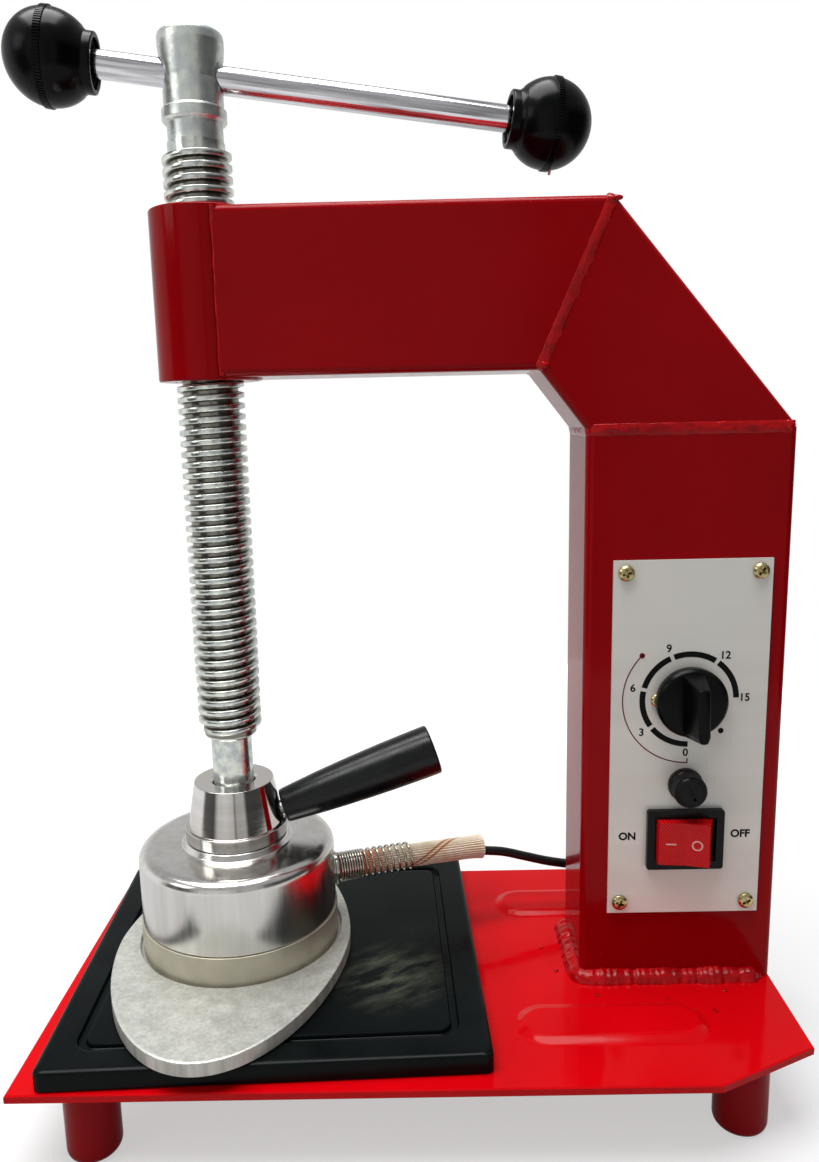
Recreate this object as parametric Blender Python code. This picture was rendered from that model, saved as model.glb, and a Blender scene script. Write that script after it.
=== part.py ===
"""Bench tire vulcanizer: a C-frame screw press with an electric heater head. Metres, +Z up.

The origin lies on the bench under the middle of the base plate. The arm runs along X, the control panel
faces -Y, and the press screw stands near the -X end. Heights of the press are counted from the top of
the base plate, and every moving piece is parented to an empty on its joint's axis.
"""

import math

import bmesh
import bpy
from mathutils import Vector

MM = 0.001

# Clearances
SEAT_GAP = 0.3 * MM
RUNNING_GAP = 0.3 * MM
THREAD_GAP = 0.4 * MM
CUT_OVERRUN = 1.0 * MM

# Base plate and feet, with room for the pad between the plate's long edges
PLATE_LENGTH = 297.0 * MM
PAD_DEPTH = 152.0 * MM
PLATE_SIDE_MARGIN = 3.0 * MM
PLATE_DEPTH = PAD_DEPTH + 2 * PLATE_SIDE_MARGIN
PLATE_THICKNESS = 3.5 * MM
PLATE_CUT_LENGTH = 40.0 * MM
PLATE_CUT_DEPTH = 19.0 * MM
BEAD_LENGTH = 74.0 * MM
BEAD_WIDTH = 23.0 * MM
BEAD_HEIGHT = 2.0 * MM
BEAD_SPACING = 90.0 * MM
BEAD_SLOPE = 3.0 * MM
BEAD_SET_BACK = 35.8 * MM
FOOT_DIAMETER = 20.5 * MM
FOOT_HEIGHT = 31.5 * MM
FOOT_EDGE_RADIUS = 3.5 * MM
FOOT_END_INSET = 25.0 * MM
FOOT_LEFT_INSET = 16.0 * MM
FOOT_RIGHT_INSET = 24.0 * MM

# Column, elbow and arm, all of one rectangular tube depth
COLUMN_WIDTH = 80.0 * MM
COLUMN_HEIGHT = 228.8 * MM
TUBE_DEPTH = 40.6 * MM
TUBE_WALL = 2.0 * MM
TUBE_CORNER_RADIUS = 3.0 * MM
ELBOW_INNER_RUN = 17.6 * MM
ELBOW_INNER_RISE = 22.9 * MM
ELBOW_OUTER_RUN = 70.6 * MM
ELBOW_OUTER_RISE = 84.5 * MM
THROAT_REACH = 145.6 * MM
ARM_SET_BACK = 4.4 * MM
ARM_BOSS_OVERLAP = 8.5 * MM
BOSS_DIAMETER = 39.2 * MM
BOSS_OVERHANG = 1.0 * MM

# Press screw
SCREW_DIAMETER = 26.2 * MM
SCREW_ROOT_DIAMETER = 21.6 * MM
SCREW_PITCH = 4.23 * MM
SCREW_TURNS = 54
SCREW_START_TURN = math.pi
THREAD_START_HEIGHT = 105.8 * MM
THREAD_RELIEF = 0.4 * MM
CREST_START_SHARE = 0.36
CREST_END_SHARE = 0.66
RUN_OUT_SHARE = 0.25
NECK_DIAMETER = 17.0 * MM
NECK_TAPER = 0.8 * MM
SHOULDER_DIAMETER = 20.8 * MM
SHOULDER_LENGTH = 6.9 * MM
COLLAR_DIAMETER = 24.2 * MM
COLLAR_LENGTH = 5.3 * MM
COLLAR_BEVEL = 0.8 * MM
HEAD_WAIST_DIAMETER = 22.4 * MM
HEAD_WAIST_SHARE = 0.35
HEAD_TOP_DIAMETER = 24.6 * MM
HEAD_LENGTH = 26.2 * MM
HEAD_RIM_HEIGHT = 4.2 * MM
HEAD_RIM_INSET = 0.2 * MM
HEAD_EDGE_RADIUS = 2.0 * MM

# Cross bar and its ball knobs
BAR_DIAMETER = 10.0 * MM
BAR_TURN = math.radians(6.2)
BAR_TILT = math.radians(6.5)
BAR_LEFT_REACH = 51.2 * MM
BAR_RIGHT_REACH = 137.2 * MM
BAR_HOLE_DIAMETER = 13.3 * MM
BAR_HEIGHT_IN_HEAD = 11.5 * MM
BAR_GRIP_LENGTH = 5.0 * MM
KNOB_DIAMETER = 33.3 * MM
KNOB_COLLAR_DIAMETER = 21.2 * MM
KNOB_COLLAR_LENGTH = 3.3 * MM
KNOB_BAND_OFFSET = 0.8 * MM
KNOB_BAND_WIDTH = 3.0 * MM
KNOB_BAND_HEIGHT = 0.5 * MM
KNOB_RECESS_DIAMETER = 17.0 * MM
KNOB_RECESS_DEPTH = 2.0 * MM

# Heater head
HEATING_PLATE_DIAMETER = 84.4 * MM
HEATING_PLATE_THICKNESS = 13.5 * MM
HEATING_PLATE_SPIGOT = 2.5 * MM
COVER_DIAMETER = 83.2 * MM
COVER_HEIGHT = 30.7 * MM
COVER_WALL = 1.5 * MM
COVER_EDGE_RADIUS = 5.0 * MM
COVER_BOSS_HEIGHT = 2.7 * MM
COVER_BOSS_DIAMETER = 46.4 * MM
COVER_BOSS_TOP_DIAMETER = 43.6 * MM
HUB_FLANGE_DIAMETER = 43.2 * MM
HUB_FLANGE_HEIGHT = 5.4 * MM
HUB_CONE_DIAMETER = 40.2 * MM
HUB_TOP_DIAMETER = 33.4 * MM
HUB_CONE_HEIGHT = 19.1 * MM
HUB_CHAMFER = 1.0 * MM
HUB_POCKET_DIAMETER = 26.0 * MM
HUB_POCKET_DEPTH = 6.2 * MM
WASHER_DIAMETER = 24.0 * MM
WASHER_THICKNESS = 2.0 * MM
RING_THICKNESS = 1.4 * MM
RING_DIAMETER = 22.0 * MM
RING_GROOVE_DEPTH = 1.4 * MM
ELEMENT_DIAMETER = 66.0 * MM
ELEMENT_THICKNESS = 2.2 * MM
INSULATION_DIAMETER = 72.0 * MM
INSULATION_THICKNESS = 2.6 * MM
THERMOSTAT_DIAMETER = 16.0 * MM
THERMOSTAT_HEIGHT = 9.0 * MM
THERMOSTAT_BODY_HEIGHT = 6.3 * MM
THERMOSTAT_CAP_DIAMETER = 11.5 * MM
THERMOSTAT_WELL_GAP = 0.6 * MM
HUB_SCREW_COUNT = 3
HUB_SCREW_CIRCLE_DIAMETER = 36.8 * MM
HUB_SCREW_DIAMETER = 3.0 * MM
HUB_SCREW_LENGTH = 8.0 * MM
HUB_SCREW_HEAD_DIAMETER = 5.6 * MM
HUB_SCREW_HEAD_HEIGHT = 2.0 * MM
HUB_SCREW_START = math.radians(31.0)

# Heater handle
HANDLE_TURN = math.radians(10.0)
HANDLE_RISE = math.radians(17.0)
HANDLE_LENGTH = 70.0 * MM
HANDLE_SMALL_DIAMETER = 15.0 * MM
HANDLE_LARGE_DIAMETER = 22.0 * MM
HANDLE_CROWN = 1.6 * MM
HANDLE_BORE_DEPTH = 34.0 * MM
HANDLE_HEIGHT_SHARE = 0.21
STUD_DIAMETER = 6.0 * MM
STUD_ROOT_RADIUS = 14.5 * MM

# Die plate and base pad
DIE_LENGTH = 158.0 * MM
DIE_WIDTH = 99.4 * MM
DIE_THICKNESS = 5.8 * MM
DIE_RECESS_DEPTH = 2.2 * MM
DIE_RECESS_GAP = 1.2 * MM
DIE_SIDE_OFFSET = 1.4 * MM
DIE_FRONT_OFFSET = 7.5 * MM
DIE_TURN = math.radians(-1.2)
DIE_ROUNDNESS_SHARE = 1.7
DIE_OUTLINE_POINTS = 48
PAD_LENGTH = 166.5 * MM
PAD_THICKNESS = 8.0 * MM
PAD_CORNER_RADIUS = 3.0 * MM
PAD_EDGE_RADIUS = 1.6 * MM
PAD_TURN = math.radians(2.2)
PAD_SIDE_OFFSET = 18.8 * MM
PAD_FRONT_OFFSET = 3.5 * MM
GROOVE_INSET = 11.5 * MM
GROOVE_WIDTH = 3.0 * MM
GROOVE_DEPTH = 2.0 * MM
GROOVE_CORNER_RADIUS = 7.0 * MM

# Heater lead
LEAD_TURN = math.radians(18.0)
LEAD_HEIGHT = 35.3 * MM
LEAD_DROOP = 1.8 * MM
LEAD_REACH = 113.7 * MM
SLEEVE_DIAMETER = 10.2 * MM
SLEEVE_INNER_REACH = 37.0 * MM
SLEEVE_POINT_COUNT = 10
FERRULE_DIAMETER = 14.4 * MM
FERRULE_LENGTH = 1.6 * MM
FERRULE_THROAT_DIAMETER = 12.4 * MM
SPRING_WIRE_DIAMETER = 1.1 * MM
SPRING_CLEARANCE = 0.45 * MM
SPRING_TIGHT_PITCH = 1.6 * MM
SPRING_TIGHT_TURNS = 6
SPRING_OPEN_PITCH = 3.1 * MM
SPRING_OPEN_TURNS = 8
SPRING_POINTS_PER_TURN = 9
CABLE_DIAMETER = 4.2 * MM
CABLE_POINT_COUNT = 36
CABLE_START_DROP = 2.4 * MM
CABLE_BEND_RUN = 1.2 * MM
CABLE_BEND_REACH = 7.5 * MM
CABLE_ENTRY_REACH = 2.0 * MM
CABLE_TAIL = 5.0 * MM
GROMMET_SIDE_OFFSET = 13.0 * MM
GROMMET_HEIGHT = 20.5 * MM
GROMMET_DIAMETER = 11.0 * MM
GROMMET_FLANGE = 1.6 * MM

# Control panel and what it carries
PANEL_WIDTH = 61.7 * MM
PANEL_HEIGHT = 148.0 * MM
PANEL_THICKNESS = 1.0 * MM
PANEL_SIDE_OFFSET = 1.7 * MM
PANEL_BOTTOM_HEIGHT = 31.0 * MM
PANEL_SCREW_INSET = 4.9 * MM
PANEL_SCREW_DIAMETER = 2.9 * MM
PANEL_SCREW_LENGTH = 7.0 * MM
PANEL_SCREW_HEAD_DIAMETER = 6.4 * MM
PANEL_SCREW_HEAD_HEIGHT = 2.0 * MM
PAN_HEAD_RADIUS_SHARES = (1.0, 1.0, 0.82, 0.45)
PAN_HEAD_HEIGHT_SHARES = (0.15, 0.45, 0.85, 1.0)
WINDOW_WIDTH = 48.0 * MM
WINDOW_HEIGHT = 126.0 * MM
TIMER_HEIGHT = 122.7 * MM
TIMER_BODY_WIDTH = 42.0 * MM
TIMER_BODY_DEPTH = 24.0 * MM
TIMER_SCREW_SPACING = 25.4 * MM
TIMER_SCREW_LENGTH = 6.0 * MM
TIMER_SCREW_HEAD_DIAMETER = 5.4 * MM
TIMER_SCREW_HEAD_HEIGHT = 1.6 * MM
TIMER_SHAFT_DIAMETER = 6.0 * MM
TIMER_SHAFT_DEPTH = 10.0 * MM
TIMER_SHAFT_REACH = 5.5 * MM
KNOB_SKIRT_DIAMETER = 28.0 * MM
KNOB_SKIRT_HEIGHT = 3.3 * MM
KNOB_CROWN_DIAMETER = 27.2 * MM
KNOB_CROWN_TAPER = 1.0 * MM
KNOB_HEIGHT = 4.6 * MM
KNOB_RIDGE_WIDTH = 9.5 * MM
KNOB_RIDGE_TOP_WIDTH = 4.4 * MM
KNOB_RIDGE_END_SLOPE = 2.8 * MM
KNOB_RIDGE_HEIGHT = 18.5 * MM
KNOB_POINTER_ANGLE = math.radians(2.0)
FUSE_HEIGHT = 87.2 * MM
FUSE_SIDE_OFFSET = 0.6 * MM
FUSE_BARREL_DIAMETER = 12.0 * MM
FUSE_BARREL_LENGTH = 33.0 * MM
FUSE_FLANGE_DIAMETER = 14.0 * MM
FUSE_FLANGE_THICKNESS = 2.0 * MM
FUSE_CAP_DIAMETER = 13.6 * MM
FUSE_CAP_HEIGHT = 7.2 * MM
FUSE_CAP_TAPER = 0.3 * MM
FUSE_CAP_EDGE = 0.8 * MM
FUSE_CARTRIDGE_DIAMETER = 5.2 * MM
FUSE_CARTRIDGE_LENGTH = 20.0 * MM
FUSE_NUT_DIAMETER = 17.0 * MM
FUSE_NUT_THICKNESS = 3.0 * MM
SWITCH_HEIGHT = 64.0 * MM
SWITCH_SIDE_OFFSET = 0.2 * MM
SWITCH_BEZEL_WIDTH = 31.0 * MM
SWITCH_BEZEL_HEIGHT = 25.5 * MM
SWITCH_BEZEL_THICKNESS = 2.2 * MM
SWITCH_BEZEL_RADIUS = 1.0 * MM
SWITCH_BODY_WIDTH = 27.0 * MM
SWITCH_BODY_HEIGHT = 21.6 * MM
SWITCH_BODY_DEPTH = 18.0 * MM
ROCKER_WIDTH = 23.0 * MM
ROCKER_HEIGHT = 18.0 * MM
ROCKER_FACE_WIDTH = 19.6 * MM
ROCKER_RISE = 4.0 * MM
ROCKER_HOLLOW = 0.8 * MM
ROCKER_TRAVEL = math.radians(20.0)
ROCKER_DEPTH = 4.5 * MM
ROCKER_BOTTOM_WIDTH = 12.6 * MM
ROCKER_EDGE_HEIGHT = 6.5 * MM
ROCKER_PIN_DIAMETER = 3.0 * MM
ROCKER_PIN_REACH = 1.2 * MM
ROCKER_WELL_GAP = 0.9 * MM

# Mains gland and terminal block
GLAND_HEIGHT = 36.0 * MM
GLAND_SIDE_OFFSET = 24.0 * MM
GLAND_DIAMETER = 15.0 * MM
GLAND_LENGTH = 12.0 * MM
GLAND_NUT_HEIGHT = 4.0 * MM
GLAND_BORE_DIAMETER = 7.0 * MM
GLAND_THROAT_DIAMETER = 11.0 * MM
TERMINAL_LENGTH = 30.0 * MM
TERMINAL_DEPTH = 12.0 * MM
TERMINAL_HEIGHT = 14.0 * MM

# Facets of round pieces
LARGE_SIDES = 44
MEDIUM_SIDES = 20
SMALL_SIDES = 12
THREAD_SIDES = 16
HEXAGON_SIDES = 6
SMOOTH_ANGLE = math.radians(35.0)

plate_top = FOOT_HEIGHT + PLATE_THICKNESS
column_x = PLATE_LENGTH / 2 - COLUMN_WIDTH / 2
screw_x = column_x - COLUMN_WIDTH / 2 - THROAT_REACH
arm_y = ARM_SET_BACK
column_front_y = arm_y - TUBE_DEPTH / 2
column_back_y = arm_y + TUBE_DEPTH / 2


class Finish:
    """A named surface with its colour, roughness and metallic value."""

    def __init__(self, name, colour, roughness, metallic):
        self.material = bpy.data.materials.new(name)
        self.material.use_nodes = True
        shader = self.material.node_tree.nodes["Principled BSDF"]
        shader.inputs["Base Color"].default_value = (*colour, 1.0)
        shader.inputs["Roughness"].default_value = roughness
        shader.inputs["Metallic"].default_value = metallic


def clear_scene():
    for old in list(bpy.data.objects):
        bpy.data.objects.remove(old, do_unlink=True)


def make_empty(name, location, rotation=(0.0, 0.0, 0.0), parent=None):
    empty = bpy.data.objects.new(name, None)
    bpy.context.collection.objects.link(empty)
    empty.location = location
    empty.rotation_euler = rotation
    empty.parent = parent
    return empty


def make_object(name, mesh_builder, finish, parent, location=(0.0, 0.0, 0.0), rotation=(0.0, 0.0, 0.0)):
    """Turns a bmesh into a named object, shaded smooth over its round sides."""
    bmesh.ops.recalc_face_normals(mesh_builder, faces=mesh_builder.faces)
    mesh = bpy.data.meshes.new(name)
    mesh_builder.to_mesh(mesh)
    mesh_builder.free()
    mesh.shade_smooth()
    mesh.set_sharp_from_angle(angle=SMOOTH_ANGLE)
    if finish is not None:
        mesh.materials.append(finish.material)
    made = bpy.data.objects.new(name, mesh)
    bpy.context.collection.objects.link(made)
    made.parent = parent
    made.location = location
    made.rotation_euler = rotation
    return made


def make_cutter(name, mesh_builder, parent, location=(0.0, 0.0, 0.0), rotation=(0.0, 0.0, 0.0)):
    cutter = make_object(name, mesh_builder, None, parent, location, rotation)
    cutter.hide_render = True
    cutter.display_type = "WIRE"
    return cutter


def combine(target, tool, operation):
    modifier = target.modifiers.new(tool.name, "BOOLEAN")
    modifier.operation = operation
    modifier.object = tool


def cut(target, *tools):
    for tool in tools:
        combine(target, tool, "DIFFERENCE")


def add(target, *tools):
    for tool in tools:
        combine(target, tool, "UNION")


def turned(profile, sides, ring=False):
    """Turns (radius, height) points about Z. Points run up the outside; a ring's profile closes on itself."""
    shape = bmesh.new()
    rows = []
    for radius, height in profile:
        if radius <= 0.0:
            rows.append([shape.verts.new((0.0, 0.0, height))])
            continue
        angles = [2 * math.pi * side / sides for side in range(sides)]
        points = [(radius * math.cos(angle), radius * math.sin(angle), height) for angle in angles]
        rows.append([shape.verts.new(point) for point in points])
    pairs = list(zip(rows, rows[1:]))
    if ring:
        pairs.append((rows[-1], rows[0]))
    for lower, upper in pairs:
        for side in range(sides):
            after = (side + 1) % sides
            if len(lower) == 1 and len(upper) == 1:
                break
            if len(lower) == 1:
                shape.faces.new((lower[0], upper[after], upper[side]))
            elif len(upper) == 1:
                shape.faces.new((lower[side], lower[after], upper[0]))
            else:
                shape.faces.new((lower[side], lower[after], upper[after], upper[side]))
    return shape


def cylinder(diameter, bottom, top, sides):
    radius = diameter / 2
    return turned([(0.0, bottom), (radius, bottom), (radius, top), (0.0, top)], sides)


def pipe(inner_diameter, outer_diameter, bottom, top, sides):
    inner = inner_diameter / 2
    outer = outer_diameter / 2
    return turned([(inner, bottom), (outer, bottom), (outer, top), (inner, top)], sides, ring=True)


def arc_points(centre, radius, start, end, steps):
    """Points of an arc in a profile, angles in radians from the profile's first axis."""
    points = []
    for step in range(steps + 1):
        angle = start + (end - start) * step / steps
        points.append((centre[0] + radius * math.cos(angle), centre[1] + radius * math.sin(angle)))
    return points


def rounded_rectangle(width, height, radius, steps=4):
    quarter = math.pi / 2
    points = []
    corners = ((1, 1), (-1, 1), (-1, -1), (1, -1))
    for index, (side_x, side_y) in enumerate(corners):
        centre = (side_x * (width / 2 - radius), side_y * (height / 2 - radius))
        points += arc_points(centre, radius, index * quarter, (index + 1) * quarter, steps)
    return points


def stadium(length, width, steps=8):
    half = length / 2 - width / 2
    right = arc_points((half, 0.0), width / 2, -math.pi / 2, math.pi / 2, steps)
    left = arc_points((-half, 0.0), width / 2, math.pi / 2, 3 * math.pi / 2, steps)
    return right + left


def lofted(levels):
    """Joins closed outlines of equal point counts, given as (points, height), into one solid."""
    shape = bmesh.new()
    rows = [[shape.verts.new((x, y, height)) for x, y in points] for points, height in levels]
    shape.faces.new(list(reversed(rows[0])))
    shape.faces.new(rows[-1])
    count = len(rows[0])
    for lower, upper in zip(rows, rows[1:]):
        for index in range(count):
            after = (index + 1) % count
            shape.faces.new((lower[index], lower[after], upper[after], upper[index]))
    return shape


def prism(points, bottom, top):
    return lofted([(points, bottom), (points, top)])


def box(low, high):
    corners = [(low[0], low[1]), (high[0], low[1]), (high[0], high[1]), (low[0], high[1])]
    return prism(corners, low[2], high[2])


def smooth_path(points, count):
    """Reads count points, evenly spaced, from a Catmull-Rom curve through the route's own points."""
    route = [Vector(point) for point in points]
    route = [2 * route[0] - route[1]] + route + [2 * route[-1] - route[-2]]
    fine = []
    steps_per_span = 24
    for index in range(1, len(route) - 2):
        before, start, end, after = route[index - 1 : index + 3]
        for step in range(steps_per_span):
            t = step / steps_per_span
            fine.append(
                0.5
                * (
                    2 * start
                    + (end - before) * t
                    + (2 * before - 5 * start + 4 * end - after) * t**2
                    + (3 * start - before - 3 * end + after) * t**3
                )
            )
    fine.append(route[-2])
    lengths = [0.0]
    for here, there in zip(fine, fine[1:]):
        lengths.append(lengths[-1] + (there - here).length)
    picked = []
    index = 0
    for number in range(count):
        target = lengths[-1] * number / (count - 1)
        while index < len(fine) - 2 and lengths[index + 1] < target:
            index += 1
        share = (target - lengths[index]) / (lengths[index + 1] - lengths[index])
        picked.append(fine[index].lerp(fine[index + 1], share))
    return picked


def make_tube(name, points, diameter, bevel_resolution, finish, parent):
    """A curve object: one round tube with filled caps through the points."""
    curve = bpy.data.curves.new(name, "CURVE")
    curve.dimensions = "3D"
    curve.bevel_depth = diameter / 2
    curve.bevel_resolution = bevel_resolution
    curve.use_fill_caps = True
    spline = curve.splines.new("POLY")
    spline.points.add(len(points) - 1)
    for target, point in zip(spline.points, points):
        target.co = (*point, 1.0)
    spline.use_smooth = True
    curve.materials.append(finish.material)
    made = bpy.data.objects.new(name, curve)
    bpy.context.collection.objects.link(made)
    made.parent = parent
    return made


def screw_piece(head_diameter, head_height, shank_diameter, shank_length):
    """A pan-head screw along +Z: shank below zero, head above it."""
    head = head_diameter / 2
    shank = shank_diameter / 2
    crown = [
        (head * radius_share, max(SEAT_GAP, head_height * height_share))
        for radius_share, height_share in zip(PAN_HEAD_RADIUS_SHARES, PAN_HEAD_HEIGHT_SHARES)
    ]
    lower = [(0.0, -shank_length), (shank, -shank_length), (shank, crown[0][1])]
    return turned(lower + crown + [(0.0, head_height)], SMALL_SIDES)


def threaded_spindle(lower_profile, upper_profile, thread_bottom, turns):
    """The press screw: turned ends with a right-hand thread between them, as one closed surface.

    Each row of the thread holds a root point, the two edges of the crest and the next turn's root
    point. The crest rises from the root over part of the first turn and sinks back at the end.
    """
    sides = THREAD_SIDES
    root = SCREW_ROOT_DIAMETER / 2
    crest = SCREW_DIAMETER / 2
    rows = turns * sides
    run_out = RUN_OUT_SHARE * sides
    shape = bmesh.new()

    def ring(radius, height):
        angles = [SCREW_START_TURN + 2 * math.pi * side / sides for side in range(sides)]
        return [shape.verts.new((radius * math.cos(a), radius * math.sin(a), height)) for a in angles]

    def on_helix(row, share, radius):
        angle = SCREW_START_TURN + 2 * math.pi * (row % sides) / sides
        height = thread_bottom + SCREW_PITCH * (row / sides + share)
        return shape.verts.new((radius * math.cos(angle), radius * math.sin(angle), height))

    def join(lower, upper):
        for side in range(sides):
            after = (side + 1) % sides
            shape.faces.new((lower[side], lower[after], upper[after], upper[side]))

    roots = [on_helix(row, 0.0, root) for row in range(rows + sides + 1)]
    crests = []
    for row in range(rows + 1):
        rise = min(1.0, row / run_out, (rows - row) / run_out)
        radius = root + (crest - root) * rise
        crests.append((on_helix(row, CREST_START_SHARE, radius), on_helix(row, CREST_END_SHARE, radius)))
    for row in range(rows):
        here = (roots[row], *crests[row], roots[row + sides])
        there = (roots[row + 1], *crests[row + 1], roots[row + 1 + sides])
        for index in range(len(here) - 1):
            shape.faces.new((here[index], there[index], there[index + 1], here[index + 1]))

    start = ring(root, thread_bottom - THREAD_RELIEF)
    end = ring(root, thread_bottom + SCREW_PITCH * (turns + 1) + THREAD_RELIEF)
    for side in range(sides - 1):
        shape.faces.new((start[side], start[side + 1], roots[side + 1], roots[side]))
    seam = (roots[0], *crests[0], roots[sides], roots[sides - 1])
    shape.faces.new((start[-1], start[0], *seam))
    for side in range(1, sides):
        after = (side + 1) % sides
        shape.faces.new((roots[rows + side], roots[rows + side + 1], end[after], end[side]))
    seam = (roots[rows + 1], end[1], end[0], roots[rows + sides], crests[rows][1], crests[rows][0])
    shape.faces.new((roots[rows], *seam))

    lower_rings = [ring(radius, height) for radius, height in lower_profile]
    shape.faces.new(list(reversed(lower_rings[0])))
    for lower, upper in zip(lower_rings, lower_rings[1:]):
        join(lower, upper)
    join(lower_rings[-1], start)
    upper_rings = [ring(radius, height) for radius, height in upper_profile]
    join(end, upper_rings[0])
    for lower, upper in zip(upper_rings, upper_rings[1:]):
        join(lower, upper)
    shape.faces.new(upper_rings[-1])
    return shape


clear_scene()

red_paint = Finish("red paint", (0.45, 0.01, 0.015), 0.25, 0.0)
zinc_steel = Finish("zinc plated steel", (0.62, 0.62, 0.58), 0.3, 1.0)
chromed_steel = Finish("chromed steel", (0.75, 0.75, 0.77), 0.15, 1.0)
polished_steel = Finish("polished steel", (0.7, 0.69, 0.67), 0.18, 1.0)
bare_aluminium = Finish("machined aluminium", (0.66, 0.64, 0.58), 0.4, 1.0)
cast_aluminium = Finish("cast aluminium", (0.68, 0.68, 0.66), 0.55, 1.0)
black_rubber = Finish("black rubber", (0.02, 0.025, 0.025), 0.35, 0.0)
black_plastic = Finish("black plastic", (0.012, 0.012, 0.013), 0.3, 0.0)
panel_aluminium = Finish("panel aluminium", (0.72, 0.7, 0.68), 0.4, 0.3)
brass_plate = Finish("yellow zinc screws", (0.72, 0.62, 0.35), 0.25, 1.0)
red_plastic = Finish("red clear plastic", (0.6, 0.02, 0.02), 0.2, 0.0)
glass_fibre = Finish("glass fibre sleeve", (0.8, 0.74, 0.62), 0.8, 0.0)
spring_steel = Finish("spring steel", (0.6, 0.6, 0.58), 0.3, 1.0)
bronze = Finish("bronze", (0.6, 0.42, 0.2), 0.35, 1.0)
mineral_board = Finish("mineral board", (0.7, 0.66, 0.55), 0.9, 0.0)
clear_glass = Finish("clear glass", (0.85, 0.88, 0.88), 0.05, 0.0)
white_plastic = Finish("white plastic", (0.8, 0.8, 0.78), 0.4, 0.0)

frame = make_empty("frame", (0.0, 0.0, 0.0))
bed = make_empty("bed", (0.0, 0.0, plate_top), parent=frame)

# Base plate with two raised beads that are hollow underneath
half_length = PLATE_LENGTH / 2
half_depth = PLATE_DEPTH / 2
plate_outline = [
    (-half_length, -half_depth),
    (half_length - PLATE_CUT_LENGTH, -half_depth),
    (half_length, -half_depth + PLATE_CUT_DEPTH),
    (half_length, half_depth - PLATE_CUT_DEPTH),
    (half_length - PLATE_CUT_LENGTH, half_depth),
    (-half_length, half_depth),
]
base_plate = make_object(
    "base_plate", prism(plate_outline, FOOT_HEIGHT, plate_top), red_paint, frame
)
bead_x = half_length - BEAD_SET_BACK - BEAD_LENGTH / 2
bead_crown = stadium(BEAD_LENGTH - 2 * BEAD_SLOPE, BEAD_WIDTH - 2 * BEAD_SLOPE)
for side_name, side in (("front", -1), ("rear", 1)):
    bead_place = (bead_x, side * BEAD_SPACING / 2, 0.0)
    rise = lofted(
        [
            (stadium(BEAD_LENGTH, BEAD_WIDTH), plate_top - BEAD_HEIGHT / 2),
            (stadium(BEAD_LENGTH, BEAD_WIDTH), plate_top),
            (bead_crown, plate_top + BEAD_HEIGHT),
        ]
    )
    add(base_plate, make_cutter("bead_rise_" + side_name, rise, frame, bead_place))
    hollow = lofted(
        [
            (stadium(BEAD_LENGTH, BEAD_WIDTH), FOOT_HEIGHT - CUT_OVERRUN),
            (stadium(BEAD_LENGTH, BEAD_WIDTH), FOOT_HEIGHT),
            (bead_crown, FOOT_HEIGHT + BEAD_HEIGHT),
        ]
    )
    cut(base_plate, make_cutter("bead_hollow_" + side_name, hollow, frame, bead_place))

# Feet, round bars welded under the plate
foot_radius = FOOT_DIAMETER / 2
foot_edge = arc_points(
    (foot_radius - FOOT_EDGE_RADIUS, FOOT_EDGE_RADIUS), FOOT_EDGE_RADIUS, -math.pi / 2, 0.0, 3
)
foot_profile = [(0.0, 0.0)] + foot_edge + [(foot_radius, FOOT_HEIGHT - SEAT_GAP), (0.0, FOOT_HEIGHT - SEAT_GAP)]
for end_name, end, side_inset in (("left", -1, FOOT_LEFT_INSET), ("right", 1, FOOT_RIGHT_INSET)):
    for side_name, side in (("front", -1), ("rear", 1)):
        foot_place = (end * (half_length - FOOT_END_INSET), side * (half_depth - side_inset), 0.0)
        make_object(
            f"foot_{side_name}_{end_name}", turned(foot_profile, SMALL_SIDES), red_paint, frame, foot_place
        )

# Column: an open rectangular tube standing on the plate
tube_outline = rounded_rectangle(COLUMN_WIDTH, TUBE_DEPTH, TUBE_CORNER_RADIUS, 3)
bore_outline = rounded_rectangle(
    COLUMN_WIDTH - 2 * TUBE_WALL, TUBE_DEPTH - 2 * TUBE_WALL, TUBE_CORNER_RADIUS - TUBE_WALL, 3
)
column_place = (column_x, arm_y, 0.0)
column = make_object(
    "column", prism(tube_outline, SEAT_GAP, COLUMN_HEIGHT), red_paint, bed, column_place
)
cut(
    column,
    make_cutter(
        "column_bore",
        prism(bore_outline, -CUT_OVERRUN, COLUMN_HEIGHT + CUT_OVERRUN),
        bed,
        column_place,
    ),
)

# Elbow: a mitred box between column and arm, drawn in side view (X, Z) from the column's top left corner
elbow_left = column_x - COLUMN_WIDTH / 2
inner_corner = (-ELBOW_INNER_RUN, ELBOW_INNER_RISE)
outer_corner = (COLUMN_WIDTH - ELBOW_OUTER_RUN, ELBOW_OUTER_RISE)


def side_view(points, depth):
    """A prism of (X, Z) points, its depth along Y and centred on the arm's middle plane."""
    shape = bmesh.new()
    front = [shape.verts.new((x, -depth / 2, z)) for x, z in points]
    back = [shape.verts.new((x, depth / 2, z)) for x, z in points]
    shape.faces.new(front)
    shape.faces.new(list(reversed(back)))
    for index in range(len(points)):
        after = (index + 1) % len(points)
        shape.faces.new((front[index], back[index], back[after], front[after]))
    return shape


def shifted(point, origin, share):
    """The point moved towards another one by a share of the way."""
    return (point[0] + (origin[0] - point[0]) * share, point[1] + (origin[1] - point[1]) * share)


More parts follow.
